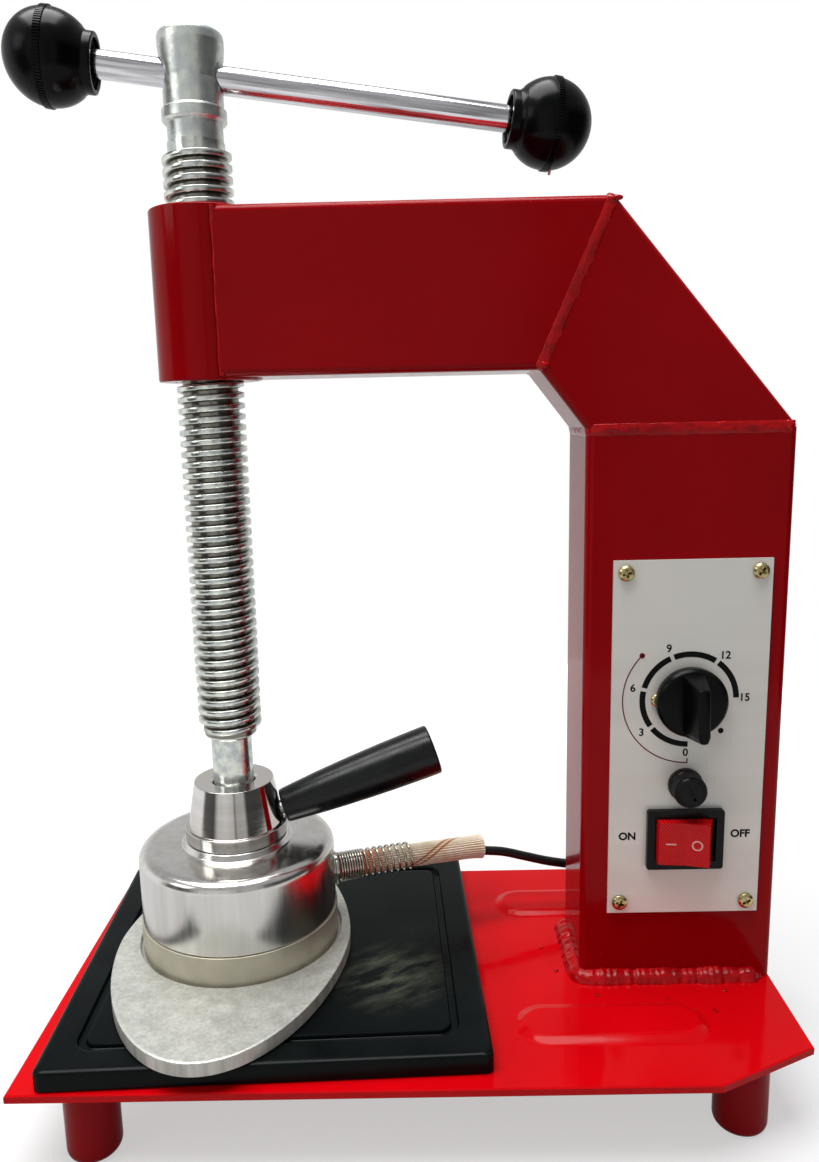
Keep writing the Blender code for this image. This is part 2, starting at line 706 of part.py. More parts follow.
mitre = Vector((outer_corner[0] - inner_corner[0], outer_corner[1] - inner_corner[1])).normalized()
mitre_gap = Vector((mitre.y, -mitre.x)) * SEAT_GAP
elbow_points = [
    (0.0, SEAT_GAP),
    (COLUMN_WIDTH, SEAT_GAP),
    outer_corner,
    inner_corner,
]
elbow_place = (elbow_left, arm_y, COLUMN_HEIGHT)
elbow = make_object("elbow", side_view(elbow_points, TUBE_DEPTH), red_paint, bed, elbow_place)
outer_run = Vector((outer_corner[0] - COLUMN_WIDTH, outer_corner[1]))
outer_inward = Vector((-outer_run.y, outer_run.x)).normalized() * TUBE_WALL
inner_run = Vector(inner_corner)
inner_inward = Vector((inner_run.y, -inner_run.x)).normalized() * TUBE_WALL


def past_both_ends(start, end, offset):
    """A wall's inner line, lengthened past both open ends of the elbow."""
    direction = (end - start).normalized() * (TUBE_DEPTH / 2)
    return start + offset - direction, end + offset + direction


outer_low, outer_high = past_both_ends(Vector((COLUMN_WIDTH, 0.0)), Vector(outer_corner), outer_inward)
inner_low, inner_high = past_both_ends(Vector((0.0, 0.0)), Vector(inner_corner), inner_inward)
elbow_bore = side_view(
    [tuple(inner_low), tuple(outer_low), tuple(outer_high), tuple(inner_high)], TUBE_DEPTH - 2 * TUBE_WALL
)
cut(elbow, make_cutter("elbow_bore", elbow_bore, bed, elbow_place))

# Arm: a tube from the mitre to the boss
arm_bottom = COLUMN_HEIGHT + ELBOW_INNER_RISE
arm_top = COLUMN_HEIGHT + ELBOW_OUTER_RISE
arm_start = screw_x + ARM_BOSS_OVERLAP
mitre_bottom = (elbow_left + inner_corner[0] - mitre_gap.x, arm_bottom)
mitre_top = (elbow_left + outer_corner[0] - mitre_gap.x, arm_top)
arm_points = [(arm_start, arm_bottom), mitre_bottom, mitre_top, (arm_start, arm_top)]
arm = make_object("arm", side_view(arm_points, TUBE_DEPTH), red_paint, bed, (0.0, arm_y, 0.0))
arm_bore = box(
    (arm_start - CUT_OVERRUN, -TUBE_DEPTH / 2 + TUBE_WALL, arm_bottom + TUBE_WALL),
    (elbow_left + COLUMN_WIDTH, TUBE_DEPTH / 2 - TUBE_WALL, arm_top - TUBE_WALL),
)
boss_clearance = cylinder(
    BOSS_DIAMETER + 2 * SEAT_GAP, arm_bottom - CUT_OVERRUN, arm_top + CUT_OVERRUN, LARGE_SIDES
)
cut(
    arm,
    make_cutter("arm_bore", arm_bore, bed, (0.0, arm_y, 0.0)),
    make_cutter("arm_saddle", boss_clearance, bed, (screw_x, arm_y, 0.0)),
)

# Boss that guides the press screw
press_axis = make_empty("press_axis", (screw_x, arm_y, 0.0), parent=bed)
make_object(
    "screw_boss",
    pipe(
        SCREW_DIAMETER + 2 * THREAD_GAP,
        BOSS_DIAMETER,
        arm_bottom - BOSS_OVERHANG,
        arm_top + BOSS_OVERHANG,
        LARGE_SIDES,
    ),
    red_paint,
    press_axis,
)

# Base pad with its groove
pad_bottom = SEAT_GAP
pad_top = pad_bottom + PAD_THICKNESS
pad_axis = make_empty(
    "pad_axis", (screw_x + PAD_SIDE_OFFSET, arm_y - PAD_FRONT_OFFSET, 0.0), (0.0, 0.0, PAD_TURN), bed
)
pad_outline = rounded_rectangle(PAD_LENGTH, PAD_DEPTH, PAD_CORNER_RADIUS, 3)
pad_crown = rounded_rectangle(
    PAD_LENGTH - 2 * PAD_EDGE_RADIUS, PAD_DEPTH - 2 * PAD_EDGE_RADIUS, PAD_CORNER_RADIUS - PAD_EDGE_RADIUS, 3
)
base_pad = make_object(
    "base_pad",
    lofted([(pad_outline, pad_bottom), (pad_outline, pad_top - PAD_EDGE_RADIUS), (pad_crown, pad_top)]),
    black_rubber,
    pad_axis,
)


def groove_cutter():
    """A rectangular ring with rounded corners, sunk in the pad's top."""
    groove_length = PAD_LENGTH - 2 * GROOVE_INSET
    groove_depth = PAD_DEPTH - 2 * GROOVE_INSET
    outer = rounded_rectangle(groove_length, groove_depth, GROOVE_CORNER_RADIUS, 4)
    inner = rounded_rectangle(
        groove_length - 2 * GROOVE_WIDTH,
        groove_depth - 2 * GROOVE_WIDTH,
        GROOVE_CORNER_RADIUS - GROOVE_WIDTH,
        4,
    )
    shape = bmesh.new()
    rows = []
    for points, height in (
        (inner, pad_top - GROOVE_DEPTH),
        (outer, pad_top - GROOVE_DEPTH),
        (outer, pad_top + CUT_OVERRUN),
        (inner, pad_top + CUT_OVERRUN),
    ):
        rows.append([shape.verts.new((x, y, height)) for x, y in points])
    count = len(rows[0])
    for lower, upper in zip(rows, rows[1:] + rows[:1]):
        for index in range(count):
            after = (index + 1) % count
            shape.faces.new((lower[index], lower[after], upper[after], upper[index]))
    return shape


cut(base_pad, make_cutter("pad_groove", groove_cutter(), pad_axis))

# Die plate: a pointed oval with a round recess under the heater


def die_outline():
    """A superellipse, a little more pointed at its two ends than an ellipse."""
    points = []
    for index in range(DIE_OUTLINE_POINTS):
        angle = 2 * math.pi * index / DIE_OUTLINE_POINTS
        along = math.copysign(abs(math.sin(angle)) ** (2 / DIE_ROUNDNESS_SHARE), math.sin(angle))
        points.append((DIE_WIDTH / 2 * math.cos(angle), DIE_LENGTH / 2 * along))
    return points


die_bottom = pad_top + SEAT_GAP
die_top = die_bottom + DIE_THICKNESS
die_axis = make_empty("die_axis", (0.0, 0.0, 0.0), (0.0, 0.0, DIE_TURN), press_axis)
die_plate = make_object(
    "die_plate",
    prism(
        [(x - DIE_SIDE_OFFSET, y - DIE_FRONT_OFFSET) for x, y in die_outline()],
        die_bottom,
        die_top,
    ),
    cast_aluminium,
    die_axis,
)
recess_floor = die_top - DIE_RECESS_DEPTH
cut(
    die_plate,
    make_cutter(
        "die_recess",
        cylinder(
            HEATING_PLATE_DIAMETER + 2 * DIE_RECESS_GAP, recess_floor, die_top + CUT_OVERRUN, LARGE_SIDES
        ),
        die_axis,
    ),
)

# Heater head, from the heating plate up
heater_axis = make_empty("heater_axis", (0.0, 0.0, 0.0), parent=press_axis)
heater_radius = COVER_DIAMETER / 2
heating_plate_radius = HEATING_PLATE_DIAMETER / 2
plate_bottom_height = recess_floor + SEAT_GAP
plate_top_height = plate_bottom_height + HEATING_PLATE_THICKNESS
spigot_radius = heater_radius - COVER_WALL - RUNNING_GAP
make_object(
    "heating_plate",
    turned(
        [
            (0.0, plate_bottom_height),
            (heating_plate_radius, plate_bottom_height),
            (heating_plate_radius, plate_top_height),
            (spigot_radius, plate_top_height),
            (spigot_radius, plate_top_height + HEATING_PLATE_SPIGOT),
            (0.0, plate_top_height + HEATING_PLATE_SPIGOT),
        ],
        LARGE_SIDES,
    ),
    bare_aluminium,
    heater_axis,
)
cover_bottom = plate_top_height + SEAT_GAP
cover_top = cover_bottom + COVER_HEIGHT
cover_shoulder = arc_points(
    (heater_radius - COVER_EDGE_RADIUS, cover_top - COVER_EDGE_RADIUS), COVER_EDGE_RADIUS, 0.0, math.pi / 2, 4
)
cover_inside = arc_points(
    (heater_radius - COVER_EDGE_RADIUS, cover_top - COVER_EDGE_RADIUS),
    COVER_EDGE_RADIUS - COVER_WALL,
    math.pi / 2,
    0.0,
    2,
)
boss_top = cover_top + COVER_BOSS_HEIGHT
heater_cover = make_object(
    "heater_cover",
    turned(
        [(heater_radius - COVER_WALL, cover_bottom), (heater_radius, cover_bottom)]
        + cover_shoulder
        + [
            (COVER_BOSS_DIAMETER / 2, cover_top),
            (COVER_BOSS_TOP_DIAMETER / 2, boss_top),
            (0.0, boss_top),
        ]
        + [(0.0, cover_top - COVER_WALL)]
        + cover_inside,
        LARGE_SIDES,
        ring=True,
    ),
    polished_steel,
    heater_axis,
)
element_bottom = plate_top_height + HEATING_PLATE_SPIGOT + SEAT_GAP
element_top = element_bottom + ELEMENT_THICKNESS
well_diameter = THERMOSTAT_DIAMETER + 2 * THERMOSTAT_WELL_GAP
make_object(
    "heating_element",
    pipe(well_diameter, ELEMENT_DIAMETER, element_bottom, element_top, MEDIUM_SIDES),
    mineral_board,
    heater_axis,
)
insulation_bottom = element_top + SEAT_GAP
make_object(
    "insulation_ring",
    pipe(
        well_diameter,
        INSULATION_DIAMETER,
        insulation_bottom,
        insulation_bottom + INSULATION_THICKNESS,
        MEDIUM_SIDES,
    ),
    mineral_board,
    heater_axis,
)
make_object(
    "thermostat",
    turned(
        [
            (0.0, element_bottom),
            (THERMOSTAT_DIAMETER / 2, element_bottom),
            (THERMOSTAT_DIAMETER / 2, element_bottom + THERMOSTAT_BODY_HEIGHT),
            (THERMOSTAT_CAP_DIAMETER / 2, element_bottom + THERMOSTAT_BODY_HEIGHT),
            (THERMOSTAT_CAP_DIAMETER / 2, element_bottom + THERMOSTAT_HEIGHT),
            (0.0, element_bottom + THERMOSTAT_HEIGHT),
        ],
        MEDIUM_SIDES,
    ),
    black_plastic,
    heater_axis,
)

# Hub, with the pocket where the neck of the screw is held
hub_bottom = boss_top + SEAT_GAP
flange_top = hub_bottom + HUB_FLANGE_HEIGHT
hub_top = flange_top + HUB_CONE_HEIGHT
hub_bore_radius = NECK_DIAMETER / 2 + RUNNING_GAP
pocket_top = hub_bottom + HUB_POCKET_DEPTH
heater_hub = make_object(
    "heater_hub",
    turned(
        [
            (HUB_POCKET_DIAMETER / 2, hub_bottom),
            (HUB_FLANGE_DIAMETER / 2, hub_bottom),
            (HUB_FLANGE_DIAMETER / 2, flange_top),
            (HUB_CONE_DIAMETER / 2, flange_top),
            (HUB_TOP_DIAMETER / 2, hub_top),
            (hub_bore_radius + HUB_CHAMFER, hub_top),
            (hub_bore_radius, hub_top - HUB_CHAMFER),
            (hub_bore_radius, pocket_top),
            (HUB_POCKET_DIAMETER / 2, pocket_top),
        ],
        LARGE_SIDES,
        ring=True,
    ),
    polished_steel,
    heater_axis,
)

# Thrust washer and retaining ring, carried up and down between screw and hub
carriage = make_empty("carriage", (0.0, 0.0, 0.0), parent=press_axis)
washer_bottom = hub_bottom
washer_top = washer_bottom + WASHER_THICKNESS
make_object(
    "thrust_washer", cylinder(WASHER_DIAMETER, washer_bottom, washer_top, MEDIUM_SIDES), bronze, carriage
)
neck_bottom = washer_top + SEAT_GAP
ring_top = pocket_top - SEAT_GAP
ring_bottom = ring_top - RING_THICKNESS
groove_radius = NECK_DIAMETER / 2 - RING_GROOVE_DEPTH
make_object(
    "retaining_ring",
    pipe(2 * (groove_radius + RUNNING_GAP), RING_DIAMETER, ring_bottom, ring_top, MEDIUM_SIDES),
    spring_steel,
    carriage,
)

# Screws that hold the cover to the hub from inside
hub_screw_gap = 2 * (HUB_SCREW_DIAMETER / 2 + RUNNING_GAP)
for number in range(HUB_SCREW_COUNT):
    angle = HUB_SCREW_START + 2 * math.pi * number / HUB_SCREW_COUNT
    screw_place = (
        HUB_SCREW_CIRCLE_DIAMETER / 2 * math.cos(angle),
        HUB_SCREW_CIRCLE_DIAMETER / 2 * math.sin(angle),
        cover_top - COVER_WALL,
    )
    make_object(
        f"hub_screw_{number + 1}",
        screw_piece(HUB_SCREW_HEAD_DIAMETER, HUB_SCREW_HEAD_HEIGHT, HUB_SCREW_DIAMETER, HUB_SCREW_LENGTH),
        zinc_steel,
        heater_axis,
        screw_place,
        (math.pi, 0.0, 0.0),
    )
    hole = make_cutter(
        f"hub_screw_hole_{number + 1}",
        cylinder(hub_screw_gap, -CUT_OVERRUN, HUB_SCREW_LENGTH + CUT_OVERRUN, SMALL_SIDES),
        heater_axis,
        screw_place,
    )
    cut(heater_cover, hole)
    cut(heater_hub, hole)

# Handle: a stud in the hub's cone and a tapered grip on it
cone_taper = (HUB_CONE_DIAMETER - HUB_TOP_DIAMETER) / 2
handle_radius = HUB_CONE_DIAMETER / 2 - cone_taper * HANDLE_HEIGHT_SHARE
handle_base_height = flange_top + HUB_CONE_HEIGHT * HANDLE_HEIGHT_SHARE
handle_axis = make_empty(
    "handle_axis",
    (0.0, 0.0, handle_base_height - handle_radius * math.tan(HANDLE_RISE)),
    (0.0, math.pi / 2 - HANDLE_RISE, HANDLE_TURN),
    heater_axis,
)
cone_slope = math.atan(cone_taper / HUB_CONE_HEIGHT)
grip_start = (
    handle_radius / math.cos(HANDLE_RISE)
    + HANDLE_SMALL_DIAMETER / 2 * abs(math.tan(HANDLE_RISE - cone_slope))
    + SEAT_GAP
)
grip_end = grip_start + HANDLE_LENGTH
small = HANDLE_SMALL_DIAMETER / 2
large = HANDLE_LARGE_DIAMETER / 2
grip_shares = ((0.03, 0.0), (0.25, 0.4), (0.55, 0.75), (0.8, 0.94), (0.94, 1.0))
grip_profile = [(small - HANDLE_CROWN / 2, grip_start)]
grip_profile += [
    (small + (large - small) * girth_share, grip_start + HANDLE_LENGTH * length_share)
    for length_share, girth_share in grip_shares
]
grip_profile += [
    (large - HANDLE_CROWN / 4, grip_end - HANDLE_CROWN),
    (large - HANDLE_CROWN, grip_end - HANDLE_CROWN / 3),
    (large / 2, grip_end),
    (0.0, grip_end),
]
bore_end = grip_start + HANDLE_BORE_DEPTH
stud_radius = STUD_DIAMETER / 2
heater_handle = make_object(
    "heater_handle",
    turned([(0.0, grip_start)] + grip_profile, MEDIUM_SIDES),
    black_plastic,
    handle_axis,
)
stud_clearance = make_cutter(
    "stud_clearance",
    cylinder(STUD_DIAMETER + 2 * RUNNING_GAP, STUD_ROOT_RADIUS - RUNNING_GAP, bore_end, SMALL_SIDES),
    handle_axis,
)
cut(heater_handle, stud_clearance)
cut(heater_hub, stud_clearance)
make_object(
    "handle_stud",
    cylinder(STUD_DIAMETER, STUD_ROOT_RADIUS, bore_end - SEAT_GAP, SMALL_SIDES),
    zinc_steel,
    handle_axis,
)

# Press screw: neck with its ring groove, thread, shoulder, collar and head
screw_axis = make_empty("screw_axis", (0.0, 0.0, 0.0), parent=carriage)
neck_radius = NECK_DIAMETER / 2
neck_profile = [
    (neck_radius, neck_bottom),
    (neck_radius, ring_bottom - SEAT_GAP),
    (groove_radius, ring_bottom - SEAT_GAP),
    (groove_radius, ring_top + SEAT_GAP),
    (neck_radius, ring_top + SEAT_GAP),
    (neck_radius, THREAD_START_HEIGHT - THREAD_RELIEF - NECK_TAPER),
]
thread_top = THREAD_START_HEIGHT + SCREW_PITCH * (SCREW_TURNS + 1) + THREAD_RELIEF
collar_bottom = thread_top + SHOULDER_LENGTH
collar_top = collar_bottom + COLLAR_LENGTH
head_top = collar_top + HEAD_LENGTH
shoulder_radius = SHOULDER_DIAMETER / 2
head_top_radius = HEAD_TOP_DIAMETER / 2
head_profile = [
    (shoulder_radius, thread_top),
    (shoulder_radius, collar_bottom),
    (COLLAR_DIAMETER / 2 - COLLAR_BEVEL, collar_bottom),
    (COLLAR_DIAMETER / 2, collar_bottom + COLLAR_BEVEL),
    (COLLAR_DIAMETER / 2, collar_top - COLLAR_BEVEL),
    (HEAD_WAIST_DIAMETER / 2, collar_top),
    (HEAD_WAIST_DIAMETER / 2, collar_top + HEAD_LENGTH * HEAD_WAIST_SHARE),
    (head_top_radius, head_top - HEAD_RIM_HEIGHT),
]
head_profile += arc_points(
    (head_top_radius - HEAD_RIM_INSET - HEAD_EDGE_RADIUS, head_top - HEAD_EDGE_RADIUS),
    HEAD_EDGE_RADIUS,
    0.0,
    math.pi / 2,
    3,
)
press_screw = make_object(
    "press_screw",
    threaded_spindle(neck_profile, head_profile, THREAD_START_HEIGHT, SCREW_TURNS),
    zinc_steel,
    screw_axis,
)

# Cross bar, sagging in its loose hole towards its long end, with a ball knob at each end
bar_height = collar_top + BAR_HEIGHT_IN_HEAD
bar_axis = make_empty("bar_axis", (0.0, 0.0, bar_height), (0.0, math.pi / 2 + BAR_TILT, BAR_TURN), screw_axis)
bar_hole = make_cutter(
    "bar_hole",
    cylinder(BAR_HOLE_DIAMETER, -COLLAR_DIAMETER, COLLAR_DIAMETER, MEDIUM_SIDES),
    screw_axis,
    (0.0, 0.0, bar_height),
    (0.0, math.pi / 2, BAR_TURN),
)
cut(press_screw, bar_hole)
knob_radius = KNOB_DIAMETER / 2
make_object(
    "cross_bar",
    cylinder(BAR_DIAMETER, -BAR_LEFT_REACH - BAR_GRIP_LENGTH, BAR_RIGHT_REACH + BAR_GRIP_LENGTH, MEDIUM_SIDES),
    chromed_steel,
    bar_axis,
)


def ball_knob():
    """A ball with a raised seam band, and a collar with a recess round the bar on its -Z side."""
    collar_radius = KNOB_COLLAR_DIAMETER / 2
    collar_start = -math.sqrt(knob_radius**2 - collar_radius**2)
    collar_end = collar_start - KNOB_COLLAR_LENGTH
    bore_radius = BAR_DIAMETER / 2 + RUNNING_GAP
    band_low = KNOB_BAND_OFFSET - KNOB_BAND_WIDTH / 2
    band_high = KNOB_BAND_OFFSET + KNOB_BAND_WIDTH / 2
    start_angle = math.atan2(collar_start, collar_radius)
    lower = arc_points((0.0, 0.0), knob_radius, start_angle, math.asin(band_low / knob_radius), 5)
    upper = arc_points((0.0, 0.0), knob_radius, math.asin(band_high / knob_radius), math.pi / 2, 7)[:-1]
    raised = knob_radius + KNOB_BAND_HEIGHT
    blind_end = BAR_GRIP_LENGTH + SEAT_GAP
    return turned(
        [
            (bore_radius, collar_end + KNOB_RECESS_DEPTH),
            (KNOB_RECESS_DIAMETER / 2, collar_end + KNOB_RECESS_DEPTH),
            (KNOB_RECESS_DIAMETER / 2, collar_end),
            (collar_radius, collar_end),
        ]
        + lower
        + [(raised, band_low), (raised, band_high)]
        + upper
        + [(0.0, knob_radius), (0.0, blind_end), (bore_radius, blind_end)],
        MEDIUM_SIDES,
        ring=True,
    )


make_object("bar_knob_right", ball_knob(), black_plastic, bar_axis, (0.0, 0.0, BAR_RIGHT_REACH))
make_object(
    "bar_knob_left", ball_knob(), black_plastic, bar_axis, (0.0, 0.0, -BAR_LEFT_REACH), (math.pi, 0.0, 0.0)
)

# Heater lead: ferrule in the cover's wall, sleeve with its kink spring, then the cable
lead_direction = Vector((math.cos(LEAD_TURN), math.sin(LEAD_TURN), 0.0))
ferrule_end = heater_radius + SEAT_GAP + FERRULE_LENGTH


def on_lead(reach):
    """A point on the lead's middle line, level at the heater and drooping towards the sleeve's end."""
    share = max(0.0, (reach - ferrule_end) / (LEAD_REACH - ferrule_end))
    return lead_direction * reach + Vector((0.0, 0.0, LEAD_HEIGHT - LEAD_DROOP * share**2))


ferrule_axis = make_empty(
    "ferrule_axis", (0.0, 0.0, LEAD_HEIGHT), (0.0, math.pi / 2, LEAD_TURN), heater_axis
)
throat_radius = FERRULE_THROAT_DIAMETER / 2
ferrule_bore = SLEEVE_DIAMETER / 2 + RUNNING_GAP
make_object(
    "lead_ferrule",
    turned(
        [
            (ferrule_bore, heater_radius - COVER_WALL - FERRULE_LENGTH / 2),
            (throat_radius, heater_radius - COVER_WALL - FERRULE_LENGTH / 2),
            (throat_radius, heater_radius + SEAT_GAP),
            (FERRULE_DIAMETER / 2, heater_radius + SEAT_GAP),
            (FERRULE_DIAMETER / 2, ferrule_end),
            (ferrule_bore, ferrule_end),
        ],
        MEDIUM_SIDES,
        ring=True,
    ),
    zinc_steel,
    ferrule_axis,
)
cut(
    heater_cover,
    make_cutter(
        "ferrule_hole",
        cylinder(
            FERRULE_THROAT_DIAMETER + 2 * RUNNING_GAP,
            heater_radius - COVER_EDGE_RADIUS,
            heater_radius + CUT_OVERRUN,
            MEDIUM_SIDES,
        ),
        ferrule_axis,
    ),
)
sleeve_points = []
for step in range(SLEEVE_POINT_COUNT):
    reach = SLEEVE_INNER_REACH + (LEAD_REACH - SLEEVE_INNER_REACH) * step / (SLEEVE_POINT_COUNT - 1)
    sleeve_points.append(on_lead(reach))
make_tube("lead_sleeve", sleeve_points, SLEEVE_DIAMETER, 4, glass_fibre, heater_axis)

spring_radius = SLEEVE_DIAMETER / 2 + SPRING_CLEARANCE + SPRING_WIRE_DIAMETER / 2
spring_start = ferrule_end + SEAT_GAP + SPRING_WIRE_DIAMETER / 2


def spring_points():
    """A helix round the sleeve, closely wound at the heater and open beyond, with straight wire ends."""
    across = Vector((-lead_direction.y, lead_direction.x, 0.0))
    up = Vector((0.0, 0.0, 1.0))
    turns = SPRING_TIGHT_TURNS + SPRING_OPEN_TURNS
    tight_length = SPRING_TIGHT_TURNS * SPRING_TIGHT_PITCH
    points = []
    for step in range(turns * SPRING_POINTS_PER_TURN + 1):
        turn = step / SPRING_POINTS_PER_TURN
        if turn <= SPRING_TIGHT_TURNS:
            along = turn * SPRING_TIGHT_PITCH
        else:
            along = tight_length + (turn - SPRING_TIGHT_TURNS) * SPRING_OPEN_PITCH
        angle = 2 * math.pi * turn
        offset = across * math.cos(angle) + up * math.sin(angle)
        points.append(on_lead(spring_start + along) + offset * spring_radius)
    first = points[0] - (points[1] - points[0]).normalized() * SPRING_WIRE_DIAMETER
    last = points[-1] + (points[-1] - points[-2]).normalized() * SPRING_WIRE_DIAMETER
    return [first] + points + [last]


def least_gap(points, diameter, turn_points):
    """The smallest distance between the surfaces of two turns, measured from point to stretch."""
    least = math.inf
    for index, point in enumerate(points):
        for other in range(index + turn_points // 2, len(points) - 1):
            start, end = points[other], points[other + 1]
            run = end - start
            share = max(0.0, min(1.0, (point - start).dot(run) / run.length_squared))
            least = min(least, (start + run * share - point).length - diameter)
    return least


spring = spring_points()
spring_gap = least_gap(spring, SPRING_WIRE_DIAMETER, SPRING_POINTS_PER_TURN)
print(f"least gap between the spring's turns: {spring_gap / MM:.2f} mm")
make_tube("lead_spring", spring, SPRING_WIRE_DIAMETER, 1, spring_steel, heater_axis)

# Cable: from the sleeve's end past the column's far corner, through the grommet in the column's back
grommet_x = column_x - GROMMET_SIDE_OFFSET
back_y = TUBE_DEPTH / 2
sleeve_end = on_lead(LEAD_REACH + 3 * SEAT_GAP)
to_grommet = grommet_x - screw_x
cable_route = [
    sleeve_end - Vector((0.0, 0.0, CABLE_START_DROP)),
    Vector((119.0 * MM, 37.0 * MM, 29.4 * MM)),
    Vector((129.0 * MM, 37.6 * MM, 26.7 * MM)),
    Vector((139.0 * MM, 37.8 * MM, 24.1 * MM)),
    Vector((148.0 * MM, 37.8 * MM, 22.5 * MM)),
    Vector((158.0 * MM, 37.4 * MM, 21.4 * MM)),
    Vector((167.0 * MM, 34.4 * MM, 20.8 * MM)),
    Vector((to_grommet - CABLE_BEND_RUN, back_y + CABLE_BEND_REACH, GROMMET_HEIGHT)),
    Vector((to_grommet, back_y + CABLE_ENTRY_REACH, GROMMET_HEIGHT)),
    Vector((to_grommet, back_y - TUBE_WALL, GROMMET_HEIGHT)),
    Vector((to_grommet, back_y - TUBE_WALL - CABLE_TAIL, GROMMET_HEIGHT)),
]
make_tube("lead_cable", smooth_path(cable_route, CABLE_POINT_COUNT), CABLE_DIAMETER, 2, black_rubber, press_axis)

grommet_axis = make_empty(
    "grommet_axis", (grommet_x, column_back_y, GROMMET_HEIGHT), (-math.pi / 2, 0.0, 0.0), bed
)
grommet_bore = CABLE_DIAMETER / 2 + RUNNING_GAP
grommet_neck = GROMMET_DIAMETER / 2 - GROMMET_FLANGE
make_object(
    "lead_grommet",
    turned(
        [
            (grommet_bore, -TUBE_WALL - SEAT_GAP - GROMMET_FLANGE),
            (GROMMET_DIAMETER / 2, -TUBE_WALL - SEAT_GAP - GROMMET_FLANGE),
            (GROMMET_DIAMETER / 2, -TUBE_WALL - SEAT_GAP),
            (grommet_neck, -TUBE_WALL - SEAT_GAP),
            (grommet_neck, SEAT_GAP),
            (GROMMET_DIAMETER / 2, SEAT_GAP),
            (GROMMET_DIAMETER / 2, SEAT_GAP + GROMMET_FLANGE),
            (grommet_bore, SEAT_GAP + GROMMET_FLANGE),
        ],
        SMALL_SIDES,
        ring=True,
    ),
    black_rubber,
    grommet_axis,
)
cut(
    column,
    make_cutter(
        "grommet_hole",
        cylinder(
            2 * (grommet_neck + SEAT_GAP), -TUBE_WALL - CUT_OVERRUN, CUT_OVERRUN, SMALL_SIDES
        ),
        grommet_axis,
    ),
)

# Mains gland in the column's back, empty, and the terminal block inside the column
gland_axis = make_empty(
    "gland_axis",
    (column_x + GLAND_SIDE_OFFSET, column_back_y, GLAND_HEIGHT),
    (-math.pi / 2, 0.0, 0.0),
    bed,
)
gland_bore = GLAND_BORE_DIAMETER / 2
gland_throat = GLAND_THROAT_DIAMETER / 2
make_object(
    "mains_gland",
    turned(
        [
            (gland_bore, -TUBE_WALL - GLAND_NUT_HEIGHT),
            (gland_throat, -TUBE_WALL - GLAND_NUT_HEIGHT),
            (gland_throat, SEAT_GAP),
            (GLAND_DIAMETER / 2, SEAT_GAP),
            (GLAND_DIAMETER / 2, GLAND_NUT_HEIGHT),
            (gland_throat, GLAND_LENGTH),
            (gland_bore, GLAND_LENGTH),
        ],
        SMALL_SIDES,
        ring=True,
    ),
    black_plastic,
    gland_axis,
)
cut(
    column,
    make_cutter(
        "gland_hole",
        cylinder(2 * (gland_throat + RUNNING_GAP), -TUBE_WALL - CUT_OVERRUN, CUT_OVERRUN, SMALL_SIDES),
        gland_axis,
    ),
)
terminal_y = column_back_y - TUBE_WALL - SEAT_GAP
terminal_x = column_x - COLUMN_WIDTH / 4
make_object(
    "terminal_block",
    box(
        (-TERMINAL_LENGTH / 2, -TERMINAL_DEPTH, 0.0),
        (TERMINAL_LENGTH / 2, 0.0, TERMINAL_HEIGHT),
    ),
    white_plastic,
    bed,
    (terminal_x, terminal_y, GLAND_HEIGHT + GLAND_DIAMETER),
)

# Control panel: its axes lie on the panel's back face, +Z of each control axis points out to the front
panel_x = column_x + PANEL_SIDE_OFFSET
panel_back_y = column_front_y - SEAT_GAP
panel_front_y = panel_back_y - PANEL_THICKNESS
facing = (math.pi / 2, 0.0, 0.0)
panel_axis = make_empty("panel_axis", (panel_x, panel_back_y, PANEL_BOTTOM_HEIGHT + PANEL_HEIGHT / 2), facing, bed)
control_panel = make_object(
    "control_panel",
    box((-PANEL_WIDTH / 2, -PANEL_HEIGHT / 2, 0.0), (PANEL_WIDTH / 2, PANEL_HEIGHT / 2, PANEL_THICKNESS)),
    panel_aluminium,
    panel_axis,
)
window_reach = TUBE_WALL + SEAT_GAP + CUT_OVERRUN
cut(
    column,
    make_cutter(
        "panel_window",
        box(
            (-WINDOW_WIDTH / 2, -WINDOW_HEIGHT / 2, -window_reach),
            (WINDOW_WIDTH / 2, WINDOW_HEIGHT / 2, CUT_OVERRUN),
        ),
        panel_axis,
    ),
)
for number, (side_x, side_z) in enumerate(((-1, 1), (1, 1), (-1, -1), (1, -1)), start=1):
    screw_place = (
        side_x * (PANEL_WIDTH / 2 - PANEL_SCREW_INSET),
        side_z * (PANEL_HEIGHT / 2 - PANEL_SCREW_INSET),
        0.0,
    )
    panel_screw = make_object(
        f"panel_screw_{number}",
        screw_piece(
            PANEL_SCREW_HEAD_DIAMETER, PANEL_SCREW_HEAD_HEIGHT, PANEL_SCREW_DIAMETER, PANEL_SCREW_LENGTH
        ),
        brass_plate,
        panel_axis,
        (screw_place[0], screw_place[1], PANEL_THICKNESS),
    )
    hole = make_cutter(
        f"panel_screw_hole_{number}",
        cylinder(
            PANEL_SCREW_DIAMETER + 2 * RUNNING_GAP,
            -PANEL_SCREW_LENGTH - CUT_OVERRUN,
            PANEL_THICKNESS + CUT_OVERRUN,
            SMALL_SIDES,
        ),
        panel_axis,
        screw_place,
    )
    cut(control_panel, hole)
    cut(column, hole)


def control_axis(name, side_offset, height):
    """An empty on the panel's back face where a control sits, +Z to the front."""
    return make_empty(name, (panel_x + side_offset, panel_back_y, height), facing, bed)


